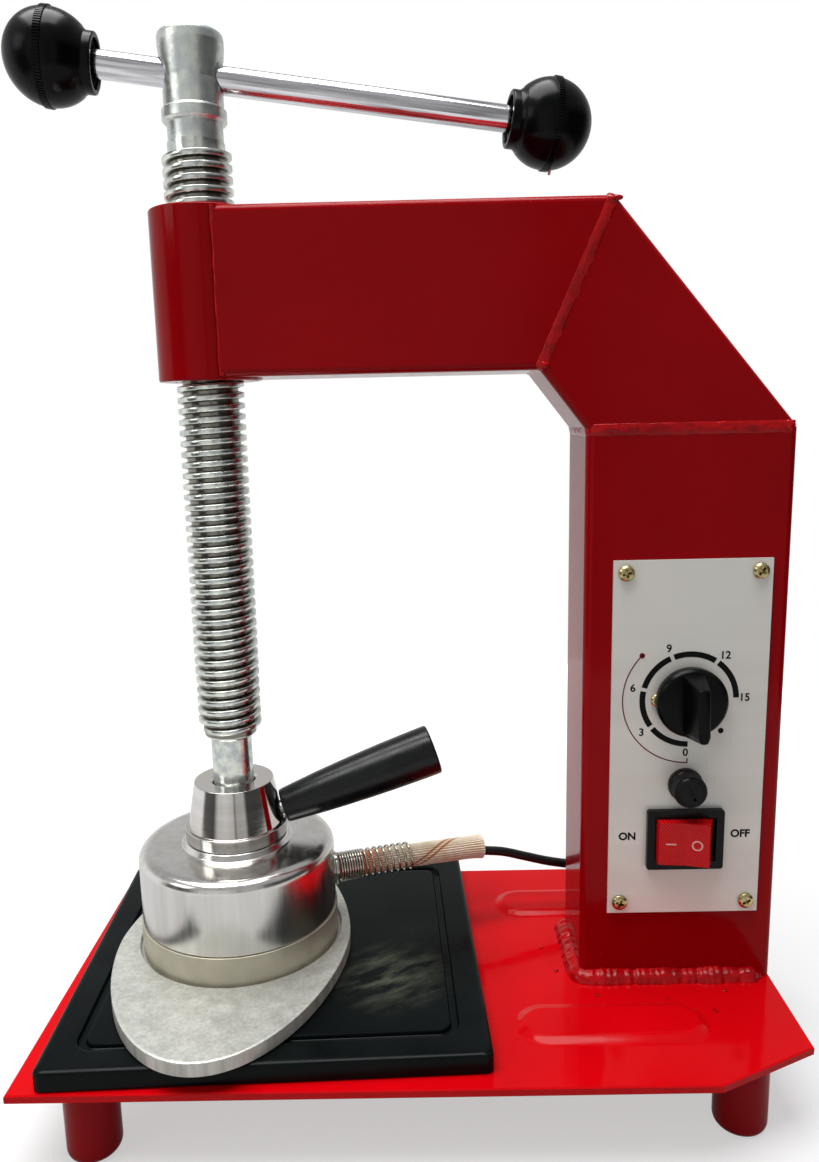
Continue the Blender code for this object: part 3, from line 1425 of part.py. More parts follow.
# Timer behind the panel, its shaft and knob
timer_axis = control_axis("timer_axis", 0.0, TIMER_HEIGHT)
timer_body = make_object(
    "timer_body",
    box(
        (-TIMER_BODY_WIDTH / 2, -TIMER_BODY_WIDTH / 2, -SEAT_GAP - TIMER_BODY_DEPTH),
        (TIMER_BODY_WIDTH / 2, TIMER_BODY_WIDTH / 2, -SEAT_GAP),
    ),
    white_plastic,
    timer_axis,
)
shaft_hole = make_cutter(
    "timer_shaft_hole",
    cylinder(
        TIMER_SHAFT_DIAMETER + 2 * RUNNING_GAP,
        -TIMER_SHAFT_DEPTH - SEAT_GAP,
        PANEL_THICKNESS + CUT_OVERRUN,
        SMALL_SIDES,
    ),
    timer_axis,
)
cut(timer_body, shaft_hole)
cut(control_panel, shaft_hole)
for number, side in ((1, -1), (2, 1)):
    screw_place = (side * TIMER_SCREW_SPACING / 2, 0.0, PANEL_THICKNESS)
    make_object(
        f"timer_screw_{number}",
        screw_piece(
            TIMER_SCREW_HEAD_DIAMETER, TIMER_SCREW_HEAD_HEIGHT, PANEL_SCREW_DIAMETER, TIMER_SCREW_LENGTH
        ),
        brass_plate,
        timer_axis,
        screw_place,
    )
    hole = make_cutter(
        f"timer_screw_hole_{number}",
        cylinder(
            PANEL_SCREW_DIAMETER + 2 * RUNNING_GAP, -TIMER_SCREW_LENGTH - SEAT_GAP, CUT_OVERRUN, SMALL_SIDES
        ),
        timer_axis,
        screw_place,
    )
    cut(control_panel, hole)
    cut(timer_body, hole)

timer_screw_top = PANEL_THICKNESS + TIMER_SCREW_HEAD_HEIGHT
knob_bottom = timer_screw_top + RUNNING_GAP
knob_top = knob_bottom + KNOB_HEIGHT
shaft_end = knob_bottom + TIMER_SHAFT_REACH
make_object(
    "timer_shaft",
    cylinder(TIMER_SHAFT_DIAMETER, -TIMER_SHAFT_DEPTH, shaft_end, SMALL_SIDES),
    zinc_steel,
    timer_axis,
)
skirt_radius = KNOB_SKIRT_DIAMETER / 2
crown_radius = KNOB_CROWN_DIAMETER / 2
timer_knob = make_object(
    "timer_knob",
    turned(
        [
            (0.0, knob_bottom),
            (skirt_radius, knob_bottom),
            (skirt_radius, knob_bottom + KNOB_SKIRT_HEIGHT),
            (crown_radius, knob_bottom + KNOB_SKIRT_HEIGHT),
            (crown_radius - KNOB_CROWN_TAPER, knob_top),
            (0.0, knob_top),
        ],
        LARGE_SIDES,
    ),
    black_plastic,
    timer_axis,
)
ridge_half = KNOB_RIDGE_WIDTH / 2
ridge_bottom = knob_bottom + KNOB_SKIRT_HEIGHT / 2
ridge_end = crown_radius - KNOB_CROWN_TAPER
ridge = box(
    (-ridge_half, -skirt_radius - RUNNING_GAP, ridge_bottom),
    (ridge_half, ridge_end, knob_bottom + KNOB_RIDGE_HEIGHT),
)
for corner in ridge.verts:
    if corner.co.z > ridge_bottom:
        corner.co.x *= KNOB_RIDGE_TOP_WIDTH / KNOB_RIDGE_WIDTH
        corner.co.y -= math.copysign(KNOB_RIDGE_END_SLOPE, corner.co.y)
add(timer_knob, make_cutter("knob_ridge", ridge, timer_axis, (0.0, 0.0, 0.0), (0.0, 0.0, KNOB_POINTER_ANGLE)))
knob_bore = cylinder(
    TIMER_SHAFT_DIAMETER + 2 * RUNNING_GAP, knob_bottom - CUT_OVERRUN, shaft_end + SEAT_GAP, SMALL_SIDES
)
cut(timer_knob, make_cutter("knob_bore", knob_bore, timer_axis))

# Fuse holder with its nut behind the panel, cap and cartridge in front
fuse_axis = control_axis("fuse_axis", -FUSE_SIDE_OFFSET, FUSE_HEIGHT)
fuse_bore = FUSE_CARTRIDGE_DIAMETER / 2 + RUNNING_GAP
flange_bottom = PANEL_THICKNESS + SEAT_GAP
fuse_flange_top = flange_bottom + FUSE_FLANGE_THICKNESS
barrel_radius = FUSE_BARREL_DIAMETER / 2
make_object(
    "fuse_holder",
    turned(
        [
            (0.0, -FUSE_BARREL_LENGTH),
            (barrel_radius, -FUSE_BARREL_LENGTH),
            (barrel_radius, flange_bottom),
            (FUSE_FLANGE_DIAMETER / 2, flange_bottom),
            (FUSE_FLANGE_DIAMETER / 2, fuse_flange_top),
            (fuse_bore, fuse_flange_top),
            (fuse_bore, fuse_flange_top - FUSE_CARTRIDGE_LENGTH - SEAT_GAP),
            (0.0, fuse_flange_top - FUSE_CARTRIDGE_LENGTH - SEAT_GAP),
        ],
        MEDIUM_SIDES,
    ),
    black_plastic,
    fuse_axis,
)
cut(
    control_panel,
    make_cutter(
        "fuse_hole",
        cylinder(FUSE_BARREL_DIAMETER + 2 * RUNNING_GAP, -CUT_OVERRUN, PANEL_THICKNESS + CUT_OVERRUN, MEDIUM_SIDES),
        fuse_axis,
    ),
)
fuse_nut = make_object(
    "fuse_nut",
    cylinder(FUSE_NUT_DIAMETER, -SEAT_GAP - FUSE_NUT_THICKNESS, -SEAT_GAP, HEXAGON_SIDES),
    zinc_steel,
    fuse_axis,
)
cut(
    fuse_nut,
    make_cutter(
        "fuse_nut_bore",
        cylinder(
            FUSE_BARREL_DIAMETER + 2 * RUNNING_GAP,
            -SEAT_GAP - FUSE_NUT_THICKNESS - CUT_OVERRUN,
            CUT_OVERRUN,
            MEDIUM_SIDES,
        ),
        fuse_axis,
    ),
)
make_object(
    "fuse_cartridge",
    cylinder(
        FUSE_CARTRIDGE_DIAMETER, fuse_flange_top - FUSE_CARTRIDGE_LENGTH, fuse_flange_top, SMALL_SIDES
    ),
    clear_glass,
    fuse_axis,
)
cap_radius = FUSE_CAP_DIAMETER / 2
cap_bottom = fuse_flange_top + SEAT_GAP
cap_top = cap_bottom + FUSE_CAP_HEIGHT
make_object(
    "fuse_cap",
    turned(
        [
            (0.0, cap_bottom),
            (cap_radius, cap_bottom),
            (cap_radius - FUSE_CAP_TAPER, cap_top - FUSE_CAP_EDGE),
            (cap_radius - FUSE_CAP_TAPER - FUSE_CAP_EDGE / 2, cap_top),
            (0.0, cap_top),
        ],
        MEDIUM_SIDES,
    ),
    black_plastic,
    fuse_axis,
)

# Rocker switch
switch_axis = control_axis("switch_axis", -SWITCH_SIDE_OFFSET, SWITCH_HEIGHT)
bezel_bottom = PANEL_THICKNESS + SEAT_GAP
bezel_top = bezel_bottom + SWITCH_BEZEL_THICKNESS
switch_housing = make_object(
    "switch_housing",
    box(
        (-SWITCH_BODY_WIDTH / 2, -SWITCH_BODY_HEIGHT / 2, -SWITCH_BODY_DEPTH),
        (SWITCH_BODY_WIDTH / 2, SWITCH_BODY_HEIGHT / 2, bezel_bottom + SWITCH_BEZEL_THICKNESS / 2),
    ),
    black_plastic,
    switch_axis,
)
bezel = prism(
    rounded_rectangle(SWITCH_BEZEL_WIDTH, SWITCH_BEZEL_HEIGHT, SWITCH_BEZEL_RADIUS, 2), bezel_bottom, bezel_top
)
add(switch_housing, make_cutter("switch_bezel", bezel, switch_axis))
cut(
    control_panel,
    make_cutter(
        "switch_hole",
        box(
            (-SWITCH_BODY_WIDTH / 2 - RUNNING_GAP, -SWITCH_BODY_HEIGHT / 2 - RUNNING_GAP, -CUT_OVERRUN),
            (
                SWITCH_BODY_WIDTH / 2 + RUNNING_GAP,
                SWITCH_BODY_HEIGHT / 2 + RUNNING_GAP,
                PANEL_THICKNESS + CUT_OVERRUN,
            ),
        ),
        switch_axis,
    ),
)

# The rocker tips about an upright pin, with a slightly hollow front, and its left wing is pressed in
half_rocker = ROCKER_WIDTH / 2
rocker_pivot_depth = -SWITCH_BEZEL_THICKNESS
rocker_centre_height = bezel_top - rocker_pivot_depth + ROCKER_RISE
wing_height = rocker_centre_height + ROCKER_HOLLOW
rocker_points = [
    (-ROCKER_BOTTOM_WIDTH / 2, -ROCKER_DEPTH),
    (ROCKER_BOTTOM_WIDTH / 2, -ROCKER_DEPTH),
    (half_rocker, wing_height - ROCKER_EDGE_HEIGHT),
    (ROCKER_FACE_WIDTH / 2, wing_height),
    (0.0, rocker_centre_height),
    (-ROCKER_FACE_WIDTH / 2, wing_height),
    (-half_rocker, wing_height - ROCKER_EDGE_HEIGHT),
]
rocker_axis = make_empty(
    "rocker_axis",
    (0.0, 0.0, rocker_pivot_depth),
    (0.0, -ROCKER_TRAVEL / 2, 0.0),
    switch_axis,
)


def rocker_shape():
    """The rocker's outline, seen along its pin, carried through its height."""
    shape = bmesh.new()
    low = [shape.verts.new((x, -ROCKER_HEIGHT / 2, z)) for x, z in rocker_points]
    high = [shape.verts.new((x, ROCKER_HEIGHT / 2, z)) for x, z in rocker_points]
    shape.faces.new(low)
    shape.faces.new(list(reversed(high)))
    for index in range(len(rocker_points)):
        after = (index + 1) % len(rocker_points)
        shape.faces.new((low[index], high[index], high[after], low[after]))
    return shape


rocker = make_object("rocker", rocker_shape(), red_plastic, rocker_axis)
pin_reach = ROCKER_HEIGHT / 2 + ROCKER_PIN_REACH
add(
    rocker,
    make_cutter(
        "rocker_pin",
        cylinder(ROCKER_PIN_DIAMETER, -pin_reach, pin_reach, SMALL_SIDES),
        rocker_axis,
        (0.0, 0.0, 0.0),
        (math.pi / 2, 0.0, 0.0),
    ),
)
well_reach = math.hypot(half_rocker, ROCKER_DEPTH) + RUNNING_GAP
well_half_height = ROCKER_HEIGHT / 2 + RUNNING_GAP
cut(
    switch_housing,
    make_cutter(
        "rocker_well",
        box(
            (-half_rocker - ROCKER_WELL_GAP, -well_half_height, rocker_pivot_depth - well_reach),
            (half_rocker + ROCKER_WELL_GAP, well_half_height, bezel_top + CUT_OVERRUN),
        ),
        switch_axis,
    ),
    make_cutter(
        "rocker_pin_hole",
        cylinder(
            ROCKER_PIN_DIAMETER + 2 * RUNNING_GAP, -pin_reach - RUNNING_GAP, pin_reach + RUNNING_GAP, SMALL_SIDES
        ),
        rocker_axis,
        (0.0, 0.0, 0.0),
        (math.pi / 2, 0.0, 0.0),
    ),
)
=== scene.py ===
"""Looks of a bench tire vulcanizer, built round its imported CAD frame.

Sizes are in millimetres and turn to metres when a piece is made. Places are counted from the press point,
where the screw's axis meets the top of the base plate: X runs to the column, Y away from the control
panel, Z up. A profile is a line of corners, each with its radius, its height and its rounding.
"""

from __future__ import annotations

import logging
from collections.abc import Callable, Sequence
from dataclasses import dataclass
from enum import Enum
from math import atan2, copysign, cos, degrees, pi, radians, sin, sqrt, tan

import bmesh
import bpy
from mathutils import Matrix, Vector, noise
from mathutils.geometry import tessellate_polygon

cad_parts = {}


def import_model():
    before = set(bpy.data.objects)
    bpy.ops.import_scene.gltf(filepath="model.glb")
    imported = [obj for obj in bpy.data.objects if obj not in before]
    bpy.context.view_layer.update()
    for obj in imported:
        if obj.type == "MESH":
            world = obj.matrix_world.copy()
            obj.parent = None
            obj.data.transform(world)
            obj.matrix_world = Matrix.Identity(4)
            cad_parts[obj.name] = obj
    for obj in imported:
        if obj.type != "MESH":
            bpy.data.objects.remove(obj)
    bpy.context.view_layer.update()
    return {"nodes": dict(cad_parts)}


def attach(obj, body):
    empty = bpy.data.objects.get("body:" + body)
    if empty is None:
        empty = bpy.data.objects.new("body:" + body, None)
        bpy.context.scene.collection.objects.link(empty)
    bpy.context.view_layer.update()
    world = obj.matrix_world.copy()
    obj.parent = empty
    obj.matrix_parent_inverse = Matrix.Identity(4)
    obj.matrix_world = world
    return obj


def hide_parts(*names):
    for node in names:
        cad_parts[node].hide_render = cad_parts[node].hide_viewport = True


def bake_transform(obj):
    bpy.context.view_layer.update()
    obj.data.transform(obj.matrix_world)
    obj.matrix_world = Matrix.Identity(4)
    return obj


LOG = logging.getLogger("vulcanizer")

MM = 0.001
PRESS_POINT = Vector((-77.1, 4.4, 35))
QUARTER = pi / 2
FULL = 2 * pi
RIGHT, BACK, UP = Vector((1, 0, 0)), Vector((0, 1, 0)), Vector((0, 0, 1))
WHITE = (1, 1, 1, 1)
RANGE = ("From Min", "From Max", "To Min", "To Max")

Point2 = tuple[float, float]
Point3 = tuple[float, float, float]
Four = tuple[float, float, float, float]
Tree = bpy.types.NodeTree
Socket = bpy.types.NodeSocket
Piece = bpy.types.Object
Vert = bmesh.types.BMVert


class Body(Enum):
    """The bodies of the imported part."""

    FRAME = "frame"
    CARRIAGE = "carriage"
    SCREW = "screw"
    BAR = "bar"
    HEATER = "heater"
    DIE = "die"
    TIMER = "timer_dial"
    ROCKER = "rocker"
    CAP = "fuse_cap"


class Streak(Enum):
    """How a pattern is drawn out, as a scale for each axis of the piece."""

    EVEN = (1, 1, 1)
    ALONG_Z = (1, 1, 0.04)
    AROUND_Z = (0.03, 0.03, 1)
    ALONG_X = (0.04, 1, 1)


def linear(code: str) -> Four:
    """Turns an sRGB hex colour to linear light.

    Args:
        code: Six hex digits.

    Returns:
        Red, green, blue and full alpha.
    """
    shares = [int(code[start : start + 2], 16) / 255 for start in (0, 2, 4)]
    light = [share / 12.92 if share <= 0.04045 else ((share + 0.055) / 1.055) ** 2.4 for share in shares]
    return (light[0], light[1], light[2], 1)


def add_node(tree: Tree, kind: str, inputs: dict, output: str | int = 0, **choices: object) -> Socket:
    """Adds a shader node with its settings and links.

    Args:
        tree: The node tree it goes into.
        kind: The node's type without the word ShaderNode.
        inputs: For each input, by name or number, a value or the output that is joined to it.
        output: The output that is read, by name or number.
        **choices: The node's own options.

    Returns:
        The output.
    """
    node = tree.nodes.new("ShaderNode" + kind)
    for name, choice in choices.items():
        setattr(node, name, choice)
    for name, value in inputs.items():
        if isinstance(value, Socket):
            tree.links.new(value, node.inputs[name])
        else:
            node.inputs[name].default_value = value
    return node.outputs[output]


@dataclass(frozen=True)
class Grain:
    """A relief on a surface: the spacing of its features, their depth and how they are drawn out."""

    spacing: float
    depth: float
    streak: Streak = Streak.EVEN
    detail: float = 3


@dataclass(frozen=True)
class Specks:
    """Small spots or pits: their spacing, radius, colour, depth and the share of places that hold one."""

    spacing: float
    radius: float
    colour: str
    share: float = 0.4
    depth: float = 0


@dataclass(frozen=True)
class Finish:
    """A material with patches of a second colour, an uneven gloss, relief and specks."""

    name: str
    slot: str | None
    colour: str
    shade: str
    patch: float
    roughness: Point2
    metallic: float = 0
    gloss_patch: float = 6
    streak: Streak = Streak.EVEN
    specular: float = 0.5
    clear: float = 0
    patch_range: Point2 = (0.4, 0.62)
    grains: tuple[Grain, ...] = ()
    specks: tuple[Specks, ...] = ()

    def material(self) -> bpy.types.Material:
        """Makes the material once.

        Returns:
            The material.
        """
        made = bpy.data.materials.get(self.name)
        if made:
            return made
        made = bpy.data.materials.new(self.name)
        made.use_nodes = True
        tree = made.node_tree
        shader = tree.nodes["Principled BSDF"].inputs
        shader["Metallic"].default_value = self.metallic
        shader["Specular IOR Level"].default_value = self.specular
        shader["Transmission Weight"].default_value = self.clear
        place = add_node(tree, "TexCoord", {}, "Object")
        colour = linear(self.colour)
        for share, code in self.layers(tree, place):
            colour = add_node(tree, "Mix", {0: share, 6: colour, 7: linear(code)}, 2, data_type="RGBA")
        tree.links.new(colour, shader["Base Color"])
        gloss = self.clouds(tree, place, self.gloss_patch, 3, (0.3, 0.7, *self.roughness))
        tree.links.new(gloss, shader["Roughness"])
        normal = None
        for height, depth in self.heights(tree, place):
            bump = {"Height": height, "Distance": abs(depth) * MM}
            if normal is not None:
                bump["Normal"] = normal
            normal = add_node(tree, "Bump", bump, "Normal", invert=depth < 0)
            tree.links.new(normal, shader["Normal"])
        return made

    def drawn_out(self, tree: Tree, place: Socket, streak: Streak) -> Socket:
        """Draws a place out along the way of a streak.

        Args:
            tree: The material's tree.
            place: The place on the piece.
            streak: How it is drawn out.

        Returns:
            The scaled place.
        """
        if streak is Streak.EVEN:
            return place
        return add_node(tree, "Mapping", {"Vector": place, "Scale": streak.value})

    def clouds(self, tree: Tree, place: Socket, size: float, detail: float, levels: Four) -> Socket:
        """Soft clouds along the finish's streak, turned to a range of values.

        Args:
            tree: The material's tree.
            place: The place on the piece.
            size: Their size.
            detail: How many finer clouds lie in them.
            levels: Two levels of the clouds and the two values they turn to.

        Returns:
            The value.
        """
        drawn = self.drawn_out(tree, place, self.streak)
        cloud = add_node(tree, "TexNoise", {"Vector": drawn, "Scale": 1 / (size * MM), "Detail": detail})
        return add_node(tree, "MapRange", {"Value": cloud, **dict(zip(RANGE, levels))})

    def dots(self, tree: Tree, place: Socket, specks: Specks) -> Socket:
        """A mask that is one on the specks.

        Args:
            tree: The material's tree.
            place: The place on the piece.
            specks: The spots to draw.

        Returns:
            The mask.
        """
        near = add_node(tree, "TexVoronoi", {"Vector": place, "Scale": 1 / (specks.spacing * MM)})
        reach = specks.radius / specks.spacing
        dot = add_node(tree, "MapRange", {"Value": near, "From Min": reach, "From Max": reach / 2})
        held = add_node(tree, "Math", {0: near.node.outputs["Color"], 1: specks.share}, operation="LESS_THAN")
        return add_node(tree, "Math", {0: dot, 1: held}, operation="MULTIPLY")

    def layers(self, tree: Tree, place: Socket) -> list[tuple[Socket, str]]:
        """The colours laid over the first one.

        Args:
            tree: The material's tree.
            place: The place on the piece.

        Returns:
            The share of each colour at each place, and the colour.
        """
        patches = self.clouds(tree, place, self.patch, 5, (*self.patch_range, 0, 1))
        return [(patches, self.shade)] + [(self.dots(tree, place, spot), spot.colour) for spot in self.specks]

    def heights(self, tree: Tree, place: Socket) -> list[tuple[Socket, float]]:
        """The reliefs, from the grains and the sunk or raised specks.

        Args:
            tree: The material's tree.
            place: The place on the piece.

        Returns:
            Each one's height at each place, and its depth, below zero where it is sunk.
        """
        made = []
        for grain in self.grains:
            drawn = self.drawn_out(tree, place, grain.streak)
            scale = 1 / (grain.spacing * MM)
            cloud = add_node(tree, "TexNoise", {"Vector": drawn, "Scale": scale, "Detail": grain.detail})
            made.append((cloud, grain.depth))
        return made + [(self.dots(tree, place, spot), -spot.depth) for spot in self.specks if spot.depth]


@dataclass(frozen=True)
class ThreadSteel(Finish):
    """Rolled steel thread: bright crests, with painted shade in the roots."""

    root: float = 10.8
    crest: float = 13.1
    wound: Point2 = (105.8, 334.2)
    # Painted shade: the colour laid in the thread's roots
    root_shade_colour: str = "85837A"

    def layers(self, tree: Tree, place: Socket) -> list[tuple[Socket, str]]:
        """The plated colours, with painted shade over them towards the thread's root.

        Args:
            tree: The material's tree.
            place: The place on the piece.

        Returns:
            The share of each colour at each place, and the colour.
        """
        flat = add_node(tree, "VectorMath", {0: place, 1: (1, 1, 0)}, operation="MULTIPLY")
        radius = add_node(tree, "VectorMath", {0: flat}, "Value", operation="LENGTH")
        rim = (self.crest - self.root) / 4
        ends = {"From Min": (self.root + rim) * MM, "From Max": (self.crest - rim) * MM}
        # Painted shade: the root colour's share, from one at the root to none at the crest, on the threaded
        # length only
        deep = add_node(tree, "MapRange", {"Value": radius, **ends, "To Min": 1, "To Max": 0})
        height = add_node(tree, "SeparateXYZ", {0: place}, "Z")
        for operation, end in zip(("GREATER_THAN", "LESS_THAN"), self.wound):
            inside = add_node(tree, "Math", {0: height, 1: end * MM}, operation=operation)
            deep = add_node(tree, "Math", {0: deep, 1: inside}, operation="MULTIPLY")
        return [*super().layers(tree, place), (deep, self.root_shade_colour)]


@dataclass(frozen=True)
class DustyRubber(Finish):
    """Moulded rubber with a smear of pale dust at one place."""

    dust: str = "8E937C"
    centre: Point3 = (46, -26, 8)
    reach: float = 27
    core: float = 2.7
    smear: float = 6
    slant: float = 0.5
    stretch: float = 3.2
    thickness: float = 0.48

    def layers(self, tree: Tree, place: Socket) -> list[tuple[Socket, str]]:
        """The rubber's colours, with the dust over them in streaks that fade outwards.

        Args:
            tree: The material's tree.
            place: The place on the piece.

        Returns:
            The share of each colour at each place, and the colour.
        """
        middle = tuple(value * MM for value in self.centre)
        away = add_node(tree, "VectorMath", {0: place, 1: middle}, "Value", operation="DISTANCE")
        ends = {"From Min": self.reach * MM, "From Max": self.core * MM}
        near = add_node(tree, "MapRange", {"Value": away, **ends})
        wiped = {"Vector": place, "Rotation": (0, 0, self.slant), "Scale": (self.stretch, 1, 1)}
        turned = add_node(tree, "Mapping", wiped, vector_type="TEXTURE")
        fine = {"Scale": 1 / (self.smear * MM), "Detail": 8, "Roughness": 0.66}
        cloud = add_node(tree, "TexNoise", {"Vector": turned, **fine})
        thick = {"Value": cloud, "From Min": 0.42, "From Max": 0.8, "To Max": self.thickness}
        share = add_node(tree, "Math", {0: near, 1: add_node(tree, "MapRange", thick)}, operation="MULTIPLY")
        return [*super().layers(tree, place), (share, self.dust)]


@dataclass(frozen=True)
class BraidedSleeve(Finish):
    """Glass-fibre braid: cream yarn with two rust-coloured tracer yarns wound slowly round it."""

    tracers: tuple[float, ...] = (-0.2, -0.125)
    tracer_turn: float = 52
    tracer_width: float = 0.026
    tracer_colour: str = "B5713A"
    ribs: int = 30
    # Painted shade for the grooves between the ribs
    groove_shade_colour: str = "CBB493"
    stain: Point2 = (17, 33)
    stain_colour: str = "CC6A1E"

    def layers(self, tree: Tree, place: Socket) -> list[tuple[Socket, str]]:
        """The yarn's colours, painted shade in its grooves, its heat stain and its tracers, by the sleeve's
        lengthwise map.

        Args:
            tree: The material's tree.
            place: The place on the piece.

        Returns:
            The share of each colour at each place, and the colour.
        """
        wound = add_node(tree, "SeparateXYZ", {0: add_node(tree, "UVMap", {})}).node.outputs
        ribbed = add_node(tree, "Math", {0: wound["X"], 1: FULL * self.ribs}, operation="MULTIPLY")
        ridge = add_node(tree, "Math", {0: ribbed}, operation="COSINE")
        # Painted shade: a darker yarn colour in the grooves between the ribs
        groove = {"Value": ridge, "From Min": 0.2, "From Max": -1, "To Max": 0.7}
        low, high = self.stain
        burnt = {"Value": wound["Y"], "From Min": high * MM, "From Max": low * MM, "To Max": 0.95}
        laid = [
            *super().layers(tree, place),
            (add_node(tree, "MapRange", groove), self.groove_shade_colour),
            (add_node(tree, "MapRange", burnt), self.stain_colour),
        ]
        per_metre = 1 / (self.tracer_turn * MM)
        turn = add_node(tree, "Math", {0: wound["Y"], 1: per_metre}, operation="MULTIPLY")
        around = add_node(tree, "Math", {0: wound["X"], 1: turn}, operation="ADD")
        for start in self.tracers:
            away = around
            for operation, value in (("ADD", start + 0.5), ("FRACT", 0), ("SUBTRACT", 0.5), ("ABSOLUTE", 0)):
                away = add_node(tree, "Math", {0: away, 1: value}, operation=operation)
            ends = {"From Min": self.tracer_width, "From Max": self.tracer_width / 3}
            laid.append((add_node(tree, "MapRange", {"Value": away, **ends}), self.tracer_colour))
        return laid


@dataclass(frozen=True)
class LatticePlastic(Finish):
    """Clear plastic with a square lattice moulded under its face, and painted shade between the lattice's
    knots.

    The lattice is drawn about twice as coarse as the real one, which is near 0.65 mm, so that it shows.
    """

    mesh: float = 1.4
    lattice_depth: float = 0.05
    # Painted shade between the lattice's knots
    lattice_shade_colour: str = "7C0408"

    def lattice(self, tree: Tree, place: Socket) -> Socket:
        """The lattice's height, from minus one between its knots to one on them.

        Args:
            tree: The material's tree.
            place: The place on the piece.

        Returns:
            The height.
        """
        wave = FULL / (self.mesh * MM)
        scaled = add_node(tree, "VectorMath", {0: place, 1: (wave, wave, wave)}, operation="MULTIPLY")
        waves = add_node(tree, "VectorMath", {0: scaled}, operation="SINE")
        parts = add_node(tree, "SeparateXYZ", {0: waves}).node.outputs
        return add_node(tree, "Math", {0: parts["X"], 1: parts["Z"]}, operation="MULTIPLY")

    def layers(self, tree: Tree, place: Socket) -> list[tuple[Socket, str]]:
        """The plastic's colours, with painted shade, a darker red, between the lattice's knots.

        Args:
            tree: The material's tree.
            place: The place on the piece.

        Returns:
            The share of each colour at each place, and the colour.
        """
        # Painted shade: a darker red between the lattice's knots
        knots = {"Value": self.lattice(tree, place), "From Min": 0.5, "From Max": -0.7, "To Max": 0.6}
        return [*super().layers(tree, place), (add_node(tree, "MapRange", knots), self.lattice_shade_colour)]

    def heights(self, tree: Tree, place: Socket) -> list[tuple[Socket, float]]:
        """The grain's relief and the lattice's."""
        return [*super().heights(tree, place), (self.lattice(tree, place), self.lattice_depth)]


# Oven-cured red enamel sprayed on steel: deep colour under a clear gloss, slight orange peel, a few nibs
ENAMEL = Finish(
    "red oven enamel on steel", "red_paint", "9A020A", "8E0108", 60, (0.08, 0.15),
    specular=0.085, patch_range=(0.3, 0.75),
    grains=(Grain(38, 0.16, detail=1), Grain(2.6, 0.006)),
    specks=(Specks(24, 0.3, "C03A34", 0.2, -0.05),),
)
# The same enamel on the flat plate, with runs, nibs and small dents; its brighter red is painted light,
# standing in for the stronger light on the plate's top
PLATE_ENAMEL = Finish(
    "red oven enamel on the plate", "red_paint", "CA030C", "BC020A", 40, (0.07, 0.14),
    specular=0.11, patch_range=(0.3, 0.75),
    grains=(Grain(30, 0.3, detail=1), Grain(7, 0.05), Grain(2.4, 0.008)),
    specks=(Specks(19, 0.35, "D85048", 0.25, -0.06), Specks(31, 1.1, "C0030C", 0.4, 0.2)),
)
# The same enamel over a weld bead: thick, lumpy and very glossy; its lighter red than the tubes' is painted
# light, standing in for the light on the upturned fillet
WELD_ENAMEL = Finish(
    "red enamel over weld", "red_paint", "B0020A", "920107", 6, (0.05, 0.11),
    specular=0.2, grains=(Grain(1.1, 0.12), Grain(0.6, 0.04)),
)
# Zinc plate, clear passivated, over a rough turned head: soft grey with yellow and violet casts and pits
ZINC_HEAD = Finish(
    "zinc plated cast head", "zinc_steel", "DDE2DA", "C4C9C8", 5, (0.27, 0.42),
    metallic=1, gloss_patch=2.5, grains=(Grain(1.2, 0.04), Grain(5, 0.08)),
    specks=(Specks(2.4, 0.3, "6A6A60", 0.4, 0.08), Specks(1.1, 0.16, "85857C", 0.4, 0.04)),
)
# Zinc plate on turned steel: rings from the tool, even grey
ZINC = Finish(
    "zinc plated steel", "zinc_steel", "CBCCC8", "B3B4B0", 5, (0.22, 0.34),
    metallic=1, streak=Streak.AROUND_Z, grains=(Grain(0.5, 0.02, Streak.AROUND_Z),),
)
# Zinc plate on a rolled thread: brighter, with small pits on the crests and painted shade in the roots
THREAD = ThreadSteel(
    "zinc plated rolled thread", "zinc_steel", "E2E6DC", "BEC4C4", 4, (0.14, 0.28),
    metallic=1, gloss_patch=2, grains=(Grain(0.7, 0.02), Grain(3, 0.05)),
    specks=(Specks(1.6, 0.22, "7E7C74", 0.4, 0.03),),
)
# Hard chrome on ground bar: near mirror with fine grinding lines along it
CHROME = Finish(
    "ground and chromed bar", "chromed_steel", "E2E2E6", "8E8B90", 1.3, (0.08, 0.2),
    metallic=1, gloss_patch=1.6, streak=Streak.ALONG_Z, patch_range=(0.44, 0.72),
    grains=(Grain(0.7, 0.03, Streak.ALONG_Z),),
)
# Spun steel cup, polished on a belt: upright brush streaks under a soft shine, a heat stain here and there
SPUN_STEEL = Finish(
    "belt polished spun steel", "polished_steel", "DCDAD6", "D2CFC9", 5, (0.14, 0.24),
    metallic=1, gloss_patch=3, streak=Streak.ALONG_Z,
    grains=(Grain(0.5, 0.02, Streak.ALONG_Z), Grain(11, 0.02, detail=1)),
    specks=(Specks(17, 0.3, "9C8A6E", 0.2),),
)
# Fine-turned steel cone: a mirror with lathe lines round it
TURNED_STEEL = Finish(
    "fine turned steel", "polished_steel", "DDDAD5", "CBC6C0", 8, (0.05, 0.12),
    metallic=1, streak=Streak.AROUND_Z, grains=(Grain(0.45, 0.012, Streak.AROUND_Z),),
)
# Machined aluminium, dulled by heat: warm grey, matte, with dark specks
HEATING_ALUMINIUM = Finish(
    "heat dulled machined aluminium", "machined_aluminium", "C3BCAA", "B2AC9A", 9, (0.36, 0.5),
    metallic=0.6, patch_range=(0.3, 0.75), grains=(Grain(0.7, 0.03, Streak.AROUND_Z),),
    specks=(Specks(5, 0.3, "4E4A42", 0.3),),
)
